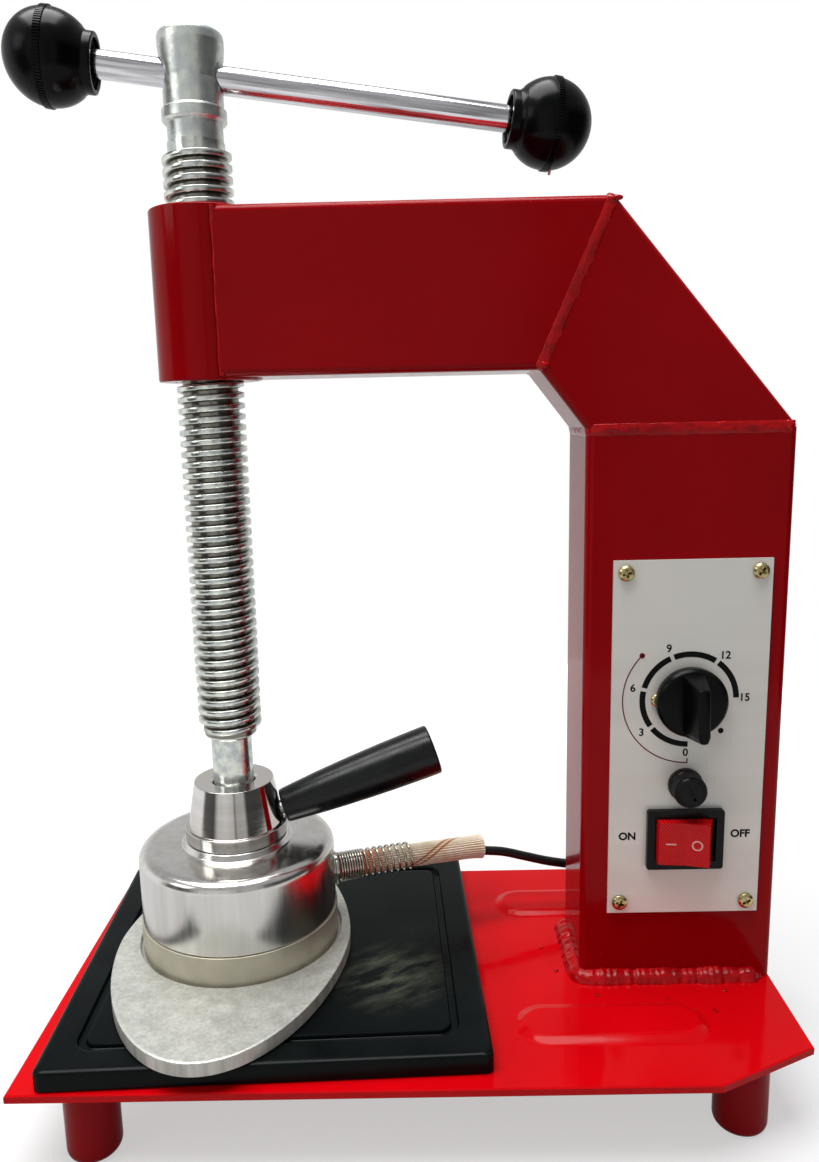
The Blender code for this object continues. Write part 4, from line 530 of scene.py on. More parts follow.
# Sand-cast aluminium: pale grey with a fine sugar-like grain
CAST_ALUMINIUM = Finish(
    "sand cast aluminium", "cast_aluminium", "CFD0C9", "B0B1A9", 1.5, (0.38, 0.54),
    metallic=0.7, patch_range=(0.28, 0.72), grains=(Grain(0.8, 0.09), Grain(16, 0.06, detail=1)),
    specks=(
        Specks(4, 0.28, "55524B", 0.22, 0.08),
        Specks(2.2, 0.26, "ECEBE6", 0.3),
        Specks(13, 0.5, "7B776D", 0.4),
    ),
)
# The die's edge, sawn and filed: darker, with lines up and down
FILED_ALUMINIUM = Finish(
    "filed aluminium edge", "cast_aluminium", "CECBC2", "B0ADA4", 3, (0.36, 0.5),
    metallic=0.3, streak=Streak.ALONG_Z, grains=(Grain(0.8, 0.06, Streak.ALONG_Z),),
)
# Compression-moulded rubber: near black with a green cast, satin
RUBBER = Finish(
    "moulded black rubber", "black_rubber", "050A0A", "0D1413", 34, (0.22, 0.38),
    gloss_patch=18, specular=0.085, patch_range=(0.5, 0.8),
    grains=(Grain(1.1, 0.02), Grain(26, 0.12, detail=1)), specks=(Specks(9, 0.3, "6B6E66", 0.2),),
)
# The same rubber as the pad, with pale grinding dust where tubes are dressed
DUSTY_RUBBER = DustyRubber(
    "moulded black rubber with dust", "black_rubber", "050A0A", "0D1413", 34, (0.22, 0.38),
    gloss_patch=18, specular=0.085, patch_range=(0.5, 0.8),
    grains=(Grain(1.1, 0.02), Grain(26, 0.1, detail=1)), specks=(Specks(7, 0.25, "5E6158", 0.25),),
)
# Flexible PVC jacket: smooth black with a soft shine
PVC = Finish(
    "black cable jacket", "black_rubber", "08090A", "0D0E0F", 8, (0.28, 0.38),
    specular=0.35, grains=(Grain(3, 0.04),),
)
# Phenolic moulding: hard, black, glossy with fine scuffs
PHENOLIC = Finish(
    "black phenolic", "black_plastic", "030405", "070809", 14, (0.16, 0.3),
    specular=0.11, gloss_patch=9, grains=(Grain(6, 0.03, detail=1),),
    specks=(Specks(8, 0.18, "3A3B3C", 0.2),),
)
# Moulded grip: black, satin, faint flow lines
GRIP = Finish(
    "black moulded grip", "black_plastic", "060809", "0C0E10", 10, (0.24, 0.34),
    specular=0.32, grains=(Grain(4, 0.03, Streak.ALONG_Z), Grain(1, 0.01)),
)
# Nylon switch and fuse mouldings: black with a fine spark-eroded grain
NYLON = Finish(
    "black nylon moulding", "black_plastic", "070708", "0C0C0D", 5, (0.24, 0.36),
    specular=0.17, grains=(Grain(0.5, 0.015),),
)
# Printed aluminium sheet, rolled and clear-lacquered: pale warm grey with a faint rolled grain
PANEL_SHEET = Finish(
    "lacquered aluminium sheet", "panel_aluminium", "E6E3DB", "DFDBD3", 24, (0.34, 0.46),
    metallic=0.15, specular=0.4, streak=Streak.ALONG_X, grains=(Grain(0.8, 0.01, Streak.ALONG_X),),
    specks=(Specks(30, 0.3, "A9A49B", 0.3),),
)
# Screen printing inks: dense black and dark red, satin
BLACK_INK, RED_INK = (
    Finish(name, None, colour, shade, 3, (0.4, 0.5), specular=0.1, grains=(Grain(0.4, 0.004),))
    for name, colour, shade in (
        ("black screen ink", "060708", "0B0C0D"),
        ("red screen ink", "6C0C12", "5E0A0F"),
    )
)
# Pad-printed marks on the rocker: white that takes on the red under it
WHITE_INK = Finish("white pad ink", None, "F0B8B0", "E8A8A0", 2, (0.4, 0.5), grains=(Grain(0.3, 0.004),))
# Yellow zinc on small screws: pale gold with green and pink casts
YELLOW_ZINC = Finish(
    "yellow zinc screw", "yellow_zinc", "CDBF8E", "A89668", 1.6, (0.18, 0.3),
    metallic=1, grains=(Grain(0.5, 0.03),),
)
# Clear red polycarbonate over a moulded lattice: an even bright red with a fine grid under the face, the
# grid's darker lines being painted shade
CLEAR_RED = LatticePlastic(
    "clear red rocker", "red_plastic", "E4141A", "CC0A10", 22, (0.16, 0.24),
    specular=0.2, patch_range=(0.2, 0.8), grains=(Grain(0.6, 0.02),),
)
# Braided glass fibre, varnished: cream, dull and fibrous
SLEEVE = BraidedSleeve(
    "braided glass fibre sleeve", "glass_fibre", "FAF0DC", "EBDABB", 4, (0.6, 0.8), grains=(Grain(0.5, 0.08),)
)
# Hard-drawn spring wire: bright grey
SPRING_WIRE = Finish(
    "bright spring wire", "spring_steel", "D6D3C8", "B6B3A8", 3, (0.2, 0.32),
    metallic=1, grains=(Grain(0.4, 0.01),),
)
# Turned bronze: warm and slightly dull
BRONZE = Finish(
    "turned bronze", "bronze", "B08A4E", "96733E", 4, (0.28, 0.4),
    metallic=1, streak=Streak.AROUND_Z, grains=(Grain(0.5, 0.02, Streak.AROUND_Z),),
)
# Pressed mineral board: chalky and fibrous
MINERAL_BOARD = Finish(
    "pressed mineral board", "mineral_board", "C9BFA6", "B5AA90", 3, (0.8, 0.9), grains=(Grain(0.6, 0.1),)
)
# Fuse tube: thin clear glass
FUSE_GLASS = Finish(
    "clear fuse glass", "clear_glass", "E6ECEC", "DDE6E6", 4, (0.03, 0.06),
    clear=0.9, grains=(Grain(5, 0.004),),
)
# Nylon terminal strip and timer case: off-white, matte
WHITE_NYLON = Finish(
    "off-white nylon", "white_plastic", "E2E0D8", "D6D3C9", 6, (0.4, 0.5), grains=(Grain(0.7, 0.02),)
)


def at(x: float = 0, y: float = 0, z: float = 0, turn: Matrix | None = None) -> Matrix:
    """A place counted from the press point, in metres.

    Args:
        x: Millimetres towards the column.
        y: Millimetres away from the control panel.
        z: Millimetres above the base plate.
        turn: How the piece's own axes are turned.

    Returns:
        The piece's matrix.
    """
    moved = Matrix.Translation((PRESS_POINT + Vector((x, y, z))) * MM)
    return moved if turn is None else moved @ turn


def lifted(height: float) -> Matrix:
    """A move of some millimetres along Z."""
    return Matrix.Translation((0, 0, height * MM))


def turned(**angles: float) -> Matrix:
    """Several rotations, the first one given done last.

    Args:
        **angles: The angle about each axis, in degrees.

    Returns:
        The joined rotation.
    """
    joined = Matrix.Identity(4)
    for axis, angle in angles.items():
        joined = joined @ Matrix.Rotation(radians(angle), 4, axis)
    return joined


def soften(corners: Sequence[Point3], steps: int = 5) -> list[Point2]:
    """Rounds the corners of a drawn line.

    Args:
        corners: Points as first coordinate, second coordinate and rounding radius.
        steps: Stretches in each rounding.

    Returns:
        The rounded line's points.
    """
    line: list[Point2] = []
    last = len(corners) - 1
    for index, (x, y, radius) in enumerate(corners):
        if radius <= 0 or index in (0, last):
            line.append((x, y))
            continue
        here = Vector((x, y))
        back = Vector(corners[index - 1][:2]) - here
        ahead = Vector(corners[index + 1][:2]) - here
        half = back.angle(ahead) / 2
        reach = min(radius / max(tan(half), 1e-3), back.length * 0.48, ahead.length * 0.48)
        start = here + back.normalized() * reach
        end = here + ahead.normalized() * reach
        for step in range(steps + 1):
            t = step / steps
            point = start * (1 - t) ** 2 + here * 2 * t * (1 - t) + end * t**2
            line.append((point.x, point.y))
    return line


def arc(radius: float, start: float, end: float, steps: int, centre: Point2 = (0, 0)) -> list[Point2]:
    """Points on an arc, with both its ends.

    Args:
        radius: Its radius.
        start: The angle of its first end, in radians.
        end: The angle of its last end.
        steps: Stretches in it.
        centre: Its centre.

    Returns:
        The points.
    """
    angles = [start + (end - start) * step / steps for step in range(steps + 1)]
    return [(centre[0] + radius * cos(angle), centre[1] + radius * sin(angle)) for angle in angles]


def circle(radius: float, sides: int, centre: Point2 = (0, 0)) -> list[Point2]:
    """Points round a circle, counter-clockwise."""
    return arc(radius, 0, FULL, sides, centre)[:-1]


def rounded_rectangle(width: float, height: float, radius: float, steps: int = 8) -> list[Point2]:
    """The outline of a rectangle with round corners, counter-clockwise.

    Args:
        width: Its size across.
        height: Its size up.
        radius: Its corners' radius.
        steps: Stretches in each corner.

    Returns:
        The points.
    """
    points: list[Point2] = []
    for index, (side_x, side_y) in enumerate(((1, 1), (-1, 1), (-1, -1), (1, -1))):
        centre = (side_x * (width / 2 - radius), side_y * (height / 2 - radius))
        points += arc(radius, index * QUARTER, (index + 1) * QUARTER, steps, centre)
    return points


def stadium(length: float, width: float, steps: int = 20) -> list[Point2]:
    """The outline of a long hole with round ends.

    Args:
        length: Its size across.
        width: Its size up.
        steps: Stretches in each end.

    Returns:
        The points.
    """
    half = (length - width) / 2
    end = arc(width / 2, -QUARTER, QUARTER, steps, (half, 0))
    return end + [(-x, -y) for x, y in end]


def shrunk(points: Sequence[Point2], distance: float) -> list[Point2]:
    """A convex outline moved inwards.

    Args:
        points: The corners, counter-clockwise.
        distance: How far each side moves.

    Returns:
        The new corners.
    """
    moved: list[Point2] = []
    count = len(points)
    for index in range(count):
        before, here, after = (Vector(points[(index + step) % count]) for step in (-1, 0, 1))
        first = (here - before).normalized()
        second = (after - here).normalized()
        inward = Vector((-first.y, first.x)) + Vector((-second.y, second.x))
        moved.append(tuple(here + inward * (distance / (1 + first.dot(second)))))
    return moved


def smooth_path(route: Sequence[Vector], count: int, spans: int = 24) -> list[Vector]:
    """Evenly spaced points on a Catmull-Rom curve through a route.

    Args:
        route: The points the curve passes.
        count: How many points to read.
        spans: Stretches between two points of the route while it is measured.

    Returns:
        The curve's points.
    """
    ends = [2 * route[0] - route[1], *route, 2 * route[-1] - route[-2]]
    fine: list[Vector] = []
    for index in range(1, len(ends) - 2):
        before, start, end, after = ends[index - 1 : index + 3]
        for step in range(spans):
            t = step / spans
            bend = (end - before) * t + (2 * before - 5 * start + 4 * end - after) * t**2
            fine.append(start + (bend + (3 * start - before - 3 * end + after) * t**3) / 2)
    fine.append(ends[-2])
    lengths = [0]
    for here, there in zip(fine, fine[1:]):
        lengths.append(lengths[-1] + (there - here).length)
    picked: list[Vector] = []
    index = 0
    for number in range(count):
        target = lengths[-1] * number / (count - 1)
        while index < len(fine) - 2 and lengths[index + 1] < target:
            index += 1
        share = (target - lengths[index]) / (lengths[index + 1] - lengths[index])
        picked.append(fine[index].lerp(fine[index + 1], share))
    return picked


def evenly(loop: Sequence[Vector], step: float, closed: bool) -> list[Vector]:
    """Evenly spaced points along a run of corners.

    Args:
        loop: Its corners.
        step: The spacing.
        closed: Whether the last corner joins the first one.

    Returns:
        The points, without the first one repeated.
    """
    points: list[Vector] = []
    for index, here in enumerate(loop if closed else loop[:-1]):
        there = loop[(index + 1) % len(loop)]
        count = max(1, round((there - here).length / step))
        points += [here.lerp(there, share / count) for share in range(count)]
    return points


def headings(path: Sequence[Vector], closed: bool) -> list[Vector]:
    """The direction of a path at each of its points.

    Args:
        path: The points.
        closed: Whether the path is a loop.

    Returns:
        The directions, each of length one.
    """
    count = len(path)
    if closed:
        return [(path[(index + 1) % count] - path[index - 1]).normalized() for index in range(count)]
    last = count - 1
    return [(path[min(index + 1, last)] - path[max(index - 1, 0)]).normalized() for index in range(count)]


class Skin:
    """A mesh drawn ring by ring, in millimetres."""

    def __init__(self) -> None:
        """Starts an empty mesh."""
        self.shape = bmesh.new()

    def ring(self, points: Sequence[Point3]) -> list[Vert]:
        """Adds the points of one ring."""
        return [self.shape.verts.new(point) for point in points]

    def bridge(self, lower: Sequence[Vert], upper: Sequence[Vert]) -> None:
        """Joins two rings of equal counts, or a ring and a single point, with faces.

        Args:
            lower: The first ring.
            upper: The second ring.
        """
        count = max(len(lower), len(upper))
        for index in range(count if count > 1 else 0):
            pairs = ((lower, index), (lower, index + 1), (upper, index + 1), (upper, index))
            corners = dict.fromkeys(row[spot % count % len(row)] for row, spot in pairs)
            self.shape.faces.new(tuple(corners))

    def stack(self, rings: Sequence[Sequence[Point3]], looped: bool = False) -> Skin:
        """Joins rings in order, and closes the two ends unless they join each other.

        Args:
            rings: Their points.
            looped: Whether the last ring joins the first one.

        Returns:
            The skin.
        """
        rows = [self.ring(points) for points in rings]
        for lower, upper in zip(rows, rows[1:] + rows[:1] if looped else rows[1:]):
            self.bridge(lower, upper)
        for row in () if looped else (rows[0], rows[-1]):
            if len(row) > 1:
                self.shape.faces.new(row)
        return self

    def lathe(self, profile: Sequence[Point2], sides: int, looped: bool = False) -> Skin:
        """Turns a profile about Z.

        Args:
            profile: Its radii and heights.
            sides: Faces round it.
            looped: Whether the profile's end joins its start.

        Returns:
            The skin.
        """
        rings = []
        for radius, height in profile:
            rings.append([(x, y, height) for x, y in circle(radius, sides if radius > 0 else 1)])
        return self.stack(rings, looped)

    def loft(self, levels: Sequence[tuple[Sequence[Point2], float]]) -> Skin:
        """Joins flat outlines at their heights."""
        return self.stack([[(x, y, height) for x, y in points] for points, height in levels])

    def rod(self, radius: float, low: float, high: float, sides: int = 32) -> Skin:
        """Draws a plain rod along Z, to cut with."""
        return self.lathe([(0, low), (radius, low), (radius, high), (0, high)], sides)

    def box(self, low: Point3, high: Point3) -> Skin:
        """Draws a plain box between two corners, to cut with."""
        outline = [(low[0], low[1]), (high[0], low[1]), (high[0], high[1]), (low[0], high[1])]
        return self.loft([(outline, low[2]), (outline, high[2])])

    def plane(self, outline: Sequence[Vert], holes: Sequence[Sequence[Vert]]) -> None:
        """Fills a flat outline that has holes in it.

        Args:
            outline: Its outer points.
            holes: The points of each hole.
        """
        loops = [outline, *holes]
        verts = [vert for loop in loops for vert in loop]
        for corners in tessellate_polygon([[vert.co for vert in loop] for loop in loops]):
            self.shape.faces.new([verts[corner] for corner in corners])

    def tube(
        self,
        path: Sequence[Vector],
        radius: float | Callable[[float, float], float],
        sides: int,
        closed: bool = False,
    ) -> Skin:
        """Draws a round tube along a path, with a map of turns round it and metres along it.

        Args:
            path: Its middle line.
            radius: Its radius, or a function of the millimetres along it and the angle.
            sides: Faces round it.
            closed: Whether the path is a loop.

        Returns:
            The skin.
        """
        upright = 0.999
        count = len(path)
        normal = UP
        rows: list[list[Vert]] = []
        along = [0]
        for index, ahead in enumerate(headings(path, closed)):
            if abs(ahead.dot(normal)) > upright:
                normal = ahead.orthogonal()
            normal = (normal - ahead * normal.dot(ahead)).normalized()
            side_way = ahead.cross(normal)
            if index:
                along.append(along[-1] + (path[index] - path[index - 1]).length)
            points = []
            for side in range(sides):
                angle = FULL * side / sides
                reach = radius(along[-1], angle) if callable(radius) else radius
                points.append(path[index] + (normal * cos(angle) + side_way * sin(angle)) * reach)
            rows.append(self.ring(points))
        chart = self.shape.loops.layers.uv.verify()
        for lower in range(count if closed else count - 1):
            upper = (lower + 1) % count
            for side in range(sides):
                spots = ((side, lower), (side + 1, lower), (side + 1, upper), (side, upper))
                face = self.shape.faces.new([rows[row][around % sides] for around, row in spots])
                for loop, (around, row) in zip(face.loops, spots):
                    loop[chart].uv = (around / sides, along[row] * MM)
        for end in () if closed else (0, -1):
            self.shape.faces.new(rows[end])
        return self

    def add(self, mesh: bpy.types.Mesh, place: Matrix) -> None:
        """Adds a finished mesh at a place.

        Args:
            mesh: The mesh.
            place: Its matrix.
        """
        before = len(self.shape.verts)
        self.shape.from_mesh(mesh)
        self.shape.verts.ensure_lookup_table()
        bmesh.ops.transform(self.shape, matrix=place, verts=self.shape.verts[before:])

    def solid(self, name: str, finish: Finish | None, place: Matrix) -> Piece:
        """Turns the skin into an object, in metres.

        Args:
            name: The object's name.
            finish: Its finish, or none for a cutter.
            place: Its matrix.

        Returns:
            The object.
        """
        bmesh.ops.recalc_face_normals(self.shape, faces=self.shape.faces)
        self.shape.transform(Matrix.Scale(MM, 4))
        mesh = bpy.data.meshes.new(name)
        self.shape.to_mesh(mesh)
        self.shape.free()
        if finish is not None:
            mesh.materials.append(finish.material())
        made = bpy.data.objects.new(name, mesh)
        bpy.context.scene.collection.objects.link(made)
        made.matrix_world = place
        return made

    def piece(
        self,
        name: str,
        finish: Finish,
        body: Body,
        place: Matrix,
        *nodes: str,
        cuts: Sequence[tuple[Skin, Matrix]] = (),
        angle: float | None = 35,
        weighted: bool = False,
    ) -> Piece:
        """Turns the skin into a finished piece of the part.

        Args:
            name: The piece's name.
            finish: Its finish.
            body: The body it moves with.
            place: Its matrix.
            *nodes: The CAD nodes it stands for.
            cuts: What is cut out of it, with each cutter's matrix.
            angle: Edges sharper than this, in degrees, stay sharp. With none, the piece stays flat.
            weighted: Whether large flat faces keep their own shading.

        Returns:
            The piece.
        """
        made = self.solid(name, finish, place)
        for tool, where in cuts:
            carve(made, tool.solid("cutter", None, where))
        if angle is not None:
            smooth(made, angle, weighted)
        return seat(made, body, finish, *nodes)


def carve(target: Piece, tool: Piece, operation: str = "DIFFERENCE") -> None:
    """Cuts, or joins, one object with another and removes the tool.

    Args:
        target: The object that changes.
        tool: The object that is used up.
        operation: The kind of Boolean.
    """
    modifier = target.modifiers.new("cut", "BOOLEAN")
    modifier.operation = operation
    modifier.solver = "EXACT"
    modifier.object = tool
    target.data = evaluated(target)
    target.modifiers.clear()
    bpy.data.objects.remove(tool, do_unlink=True)


def evaluated(piece: Piece) -> bpy.types.Mesh:
    """The mesh of an object as its modifiers or its text make it.

    Args:
        piece: The object.

    Returns:
        A new mesh.
    """
    bpy.context.view_layer.update()
    graph = bpy.context.evaluated_depsgraph_get()
    return bpy.data.meshes.new_from_object(piece.evaluated_get(graph), depsgraph=graph)


def smooth(piece: Piece, angle: float = 35, weighted: bool = False) -> None:
    """Shades a piece smooth up to an angle.

    Args:
        piece: The object.
        angle: Edges sharper than this, in degrees, stay sharp.
        weighted: Whether large flat faces keep their own shading.
    """
    piece.data.shade_smooth()
    piece.data.set_sharp_from_angle(angle=radians(angle))
    if weighted:
        piece.modifiers.new("flat faces first", "WEIGHTED_NORMAL").keep_sharp = True


def bevelled(piece: Piece, width: float, segments: int, angle: float) -> None:
    """Rounds a piece's sharp edges.

    Args:
        piece: The object.
        width: The rounding's width.
        segments: Faces across it.
        angle: Edges sharper than this, in degrees, are rounded.
    """
    modifier = piece.modifiers.new("soft edges", "BEVEL")
    modifier.width = width * MM
    modifier.segments = segments
    modifier.limit_method = "ANGLE"
    modifier.angle_limit = radians(angle)


def seat(piece: Piece, body: Body, finish: Finish, *nodes: str) -> Piece:
    """Rides a piece on its body, hides the CAD nodes it stands for, and reports it.

    Args:
        piece: The finished object.
        body: The body it moves with.
        finish: Not used.
        *nodes: The CAD nodes it stands for.

    Returns:
        The piece.
    """
    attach(piece, body.value)
    if nodes:
        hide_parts(*nodes)
    LOG.info("%s rides on %s", piece.name, body.value)
    return piece


@dataclass
class WeldBead:
    """A weld run, painted over: a lumpy bead along a line."""

    name: str
    path: list[Vector]
    radius: float
    seed: int
    closed: bool = False
    lump: float = 0.35
    gain: float = 1.3
    ripple: float = 3.4
    swelling: float = 13

    def girth(self, along: float, angle: float) -> float:
        """The bead's radius at one place.

        Args:
            along: Millimetres along the run.
            angle: The angle round it.

        Returns:
            The radius.
        """
        spot = Vector((along / self.ripple, cos(angle) * 0.5 + self.seed * 7, sin(angle) * 0.5))
        slow = Vector((along / self.swelling, self.seed * 3, 0))
        rough = self.lump * noise.noise(spot) * self.gain
        return self.radius * (1 + rough + self.lump * noise.noise(slow) * self.gain)

    def build(self) -> None:
        """Draws the bead with ripples and lumps, and rides it on the frame."""
        skin = Skin().tube(self.path, self.girth, 12, self.closed)
        skin.piece(self.name, WELD_ENAMEL, Body.FRAME, at(), angle=80)


@dataclass
class TubeWeld:
    """A painted-over weld round a tube: a low cap over a seam, or a fillet in a corner."""

    name: str
    centre: Vector
    ways: tuple[Vector, Vector]
    outline: list[Point2]
    width: float
    height: float
    seed: int
    closed: bool = True
    fillet: bool = False
    lump: float = 0.35
    ripple: float = 3.2
    spacing: float = 0.6
    steps: int = 10
    cap_depth: float = 0.8
    fillet_depth: Point2 = (0.5, 0.4)
    bulge: Point2 = (0.35, 0.4)

    def section(self, swell: float, along: float) -> list[Point2]:
        """The weld's outline at one place.

        Args:
            swell: Its size there, about one.
            along: The distance along the run.

        Returns:
            Distances out from the tube and across the seam.
        """
        points: list[Point2] = []
        for step in range(self.steps + 1):
            t = step / self.steps
            crest = sin(pi * t)
            spot = Vector((along / self.ripple, t * 2.4 + self.seed * 5, 0))
            rough = crest * self.lump * noise.noise(spot)
            if self.fillet:
                bulge = self.bulge[0] * self.width * swell * crest * (self.bulge[1] + rough)
                points.append((self.width * swell * t + bulge, self.height * swell * (1 - t) + bulge))
            else:
                wave = 0.5 * noise.noise(Vector((along / 4, self.seed * 11, 2 * round(t))))
                out = self.height * swell * crest * (1 + 1.6 * rough)
                points.append((out, (t - 0.5) * self.width + wave))
        if self.fillet:
            inward, down = self.fillet_depth
            return [(-inward, -down), (-inward, self.height * swell), *points, (self.width * swell, -down)]
        return [(-self.cap_depth, -self.width / 2), *points, (-self.cap_depth, self.width / 2)]

    def build(self) -> None:
        """Draws the weld round its tube and rides it on the frame."""
        run = evenly([Vector((a, b, 0)) for a, b in self.outline], self.spacing, self.closed)
        first, second = self.ways
        across = first.cross(second)
        rings = []
        for index, (point, way) in enumerate(zip(run, headings(run, self.closed))):
            outward = first * way.y - second * way.x
            place = self.centre + first * point.x + second * point.y
            along = index * self.spacing
            swell = 1 + self.lump * (
                noise.noise(Vector((along / self.ripple, self.seed * 7, 0)))
                + noise.noise(Vector((along / 11, self.seed * 3, 4)))
            )
            if not self.closed:
                swell *= min(1, (index + 2) / 9, (len(run) - index + 1) / 9)
            rings.append([place + outward * out + across * up for out, up in self.section(swell, along)])
        skin = Skin().stack(rings, looped=self.closed)
        skin.piece(self.name, WELD_ENAMEL, Body.FRAME, at(), angle=80)


@dataclass
class Spatter:
    """Weld spatter and blobs of thick paint: low drops that sit on a surface."""

    name: str
    drops: Sequence[tuple[float, float, float, float, Point3]]

    def build(self) -> None:
        """Draws each drop, flattened towards the surface it sits on."""
        skin = Skin()
        for number, (x, y, z, radius, flat) in enumerate(self.drops):
            centre = Vector((x, y, z))
            place = Matrix.Translation(centre) @ Matrix.Diagonal((*flat, 1))
            made = bmesh.ops.create_icosphere(skin.shape, subdivisions=3, radius=radius, matrix=place)
            for vert in made["verts"]:
                uneven = noise.noise(vert.co / radius + Vector((number * 5, 0, 0)))
                vert.co += (vert.co - centre) * 0.5 * uneven
        skin.piece(self.name, WELD_ENAMEL, Body.FRAME, at(), angle=80)


@dataclass
class BasePlate:
    """Pressed steel plate with two raised beads, on four round feet."""

    length: float = 297
    depth: float = 158
    thickness: float = 3.5
    cut_length: float = 40
    cut_depth: float = 19
    edge: float = 0.5
    bead_length: float = 74
    bead_width: float = 23
    bead_height: float = 2
    bead_spacing: float = 90
    bead_set_back: float = 35.8
    bead_slope: Point2 = (-1.4, 4)
    bead_steps: int = 9
    foot_height: float = 31.5
    foot_radius: float = 10.25
    foot_edge: float = 3.5
    foot_gap: float = 0.3
    foot_weld: Point2 = (10.6, 0.9)
    feet: tuple[tuple[str, float, float], ...] = (
        ("foot_front_left", -123.5, -63),
        ("foot_front_right", 123.5, -55),
        ("foot_rear_left", -123.5, 63),
        ("foot_rear_right", 123.5, 55),
    )

    def outline(self) -> list[Point2]:
        """The plate's outline with its two cut corners, round the row frame's origin.

        Returns:
            The corners.
        """
        x, y = self.length / 2, self.depth / 2
        inner_x, inner_y = x - self.cut_length, y - self.cut_depth
        return [(-x, -y), (inner_x, -y), (x, -inner_y), (x, inner_y), (inner_x, y), (-x, y)]

    def bead(self, skin: Skin, side: int, base: float) -> list[Vert]:
        """Draws one bead's surface.

        Args:
            skin: The skin it is drawn in.
            side: Minus one in front, one behind.
            base: The height of the flat sheet.

        Returns:
            The ring that joins the flat sheet.
        """
        x = self.length / 2 - self.bead_set_back - self.bead_length / 2
        y = side * self.bead_spacing / 2
        foot, crown = self.bead_slope
        rows = []
        for step in range(self.bead_steps + 1):
            t = step / self.bead_steps
            inset = foot + (crown - foot) * t
            height = base + self.bead_height * t * t * (3 - 2 * t)
            points = stadium(self.bead_length - 2 * inset, self.bead_width - 2 * inset)
            rows.append(skin.ring([(x + a, y + b, height) for a, b in points]))
        for lower, upper in zip(rows, rows[1:]):
            skin.bridge(lower, upper)
        skin.shape.faces.new(rows[-1])
        return rows[0]

    def build(self) -> None:
        """Builds the plate and its feet."""
        skin = Skin()
        bottom, top = self.foot_height, self.foot_height + self.thickness
        levels = [(self.edge, bottom), (0, bottom + self.edge), (0, top - self.edge), (self.edge, top)]
        rims = [skin.ring([(x, y, z) for x, y in shrunk(self.outline(), inset)]) for inset, z in levels]
        for lower, upper in zip(rims, rims[1:]):
            skin.bridge(lower, upper)
        for rim, height in ((rims[0], bottom), (rims[-1], top)):
            skin.plane(rim, [self.bead(skin, side, height) for side in (-1, 1)])
        still = Matrix.Identity(4)
        skin.piece("base_plate_sheet", PLATE_ENAMEL, Body.FRAME, still, "base_plate", angle=25, weighted=True)
        radius, height = self.foot_radius, self.foot_height - self.foot_gap
        corners = [(0, 0, 0), (radius, 0, self.foot_edge), (radius, height, 0.4), (0, height, 0)]
        weld_radius, weld_size = self.foot_weld
        for number, (node, x, y) in enumerate(self.feet, start=20):
            place = Matrix.Translation(Vector((x, y, 0)) * MM)
            foot = Skin().lathe(soften(corners, 8), 64)
            foot.piece(node + "_bar", ENAMEL, Body.FRAME, place, node, weighted=True)
            ring = [Vector((*spot, self.foot_height - 0.7)) for spot in circle(weld_radius, 70, (x, y))]
            WeldBead(node + "_weld", [spot - PRESS_POINT for spot in ring], weld_size, number, True).build()


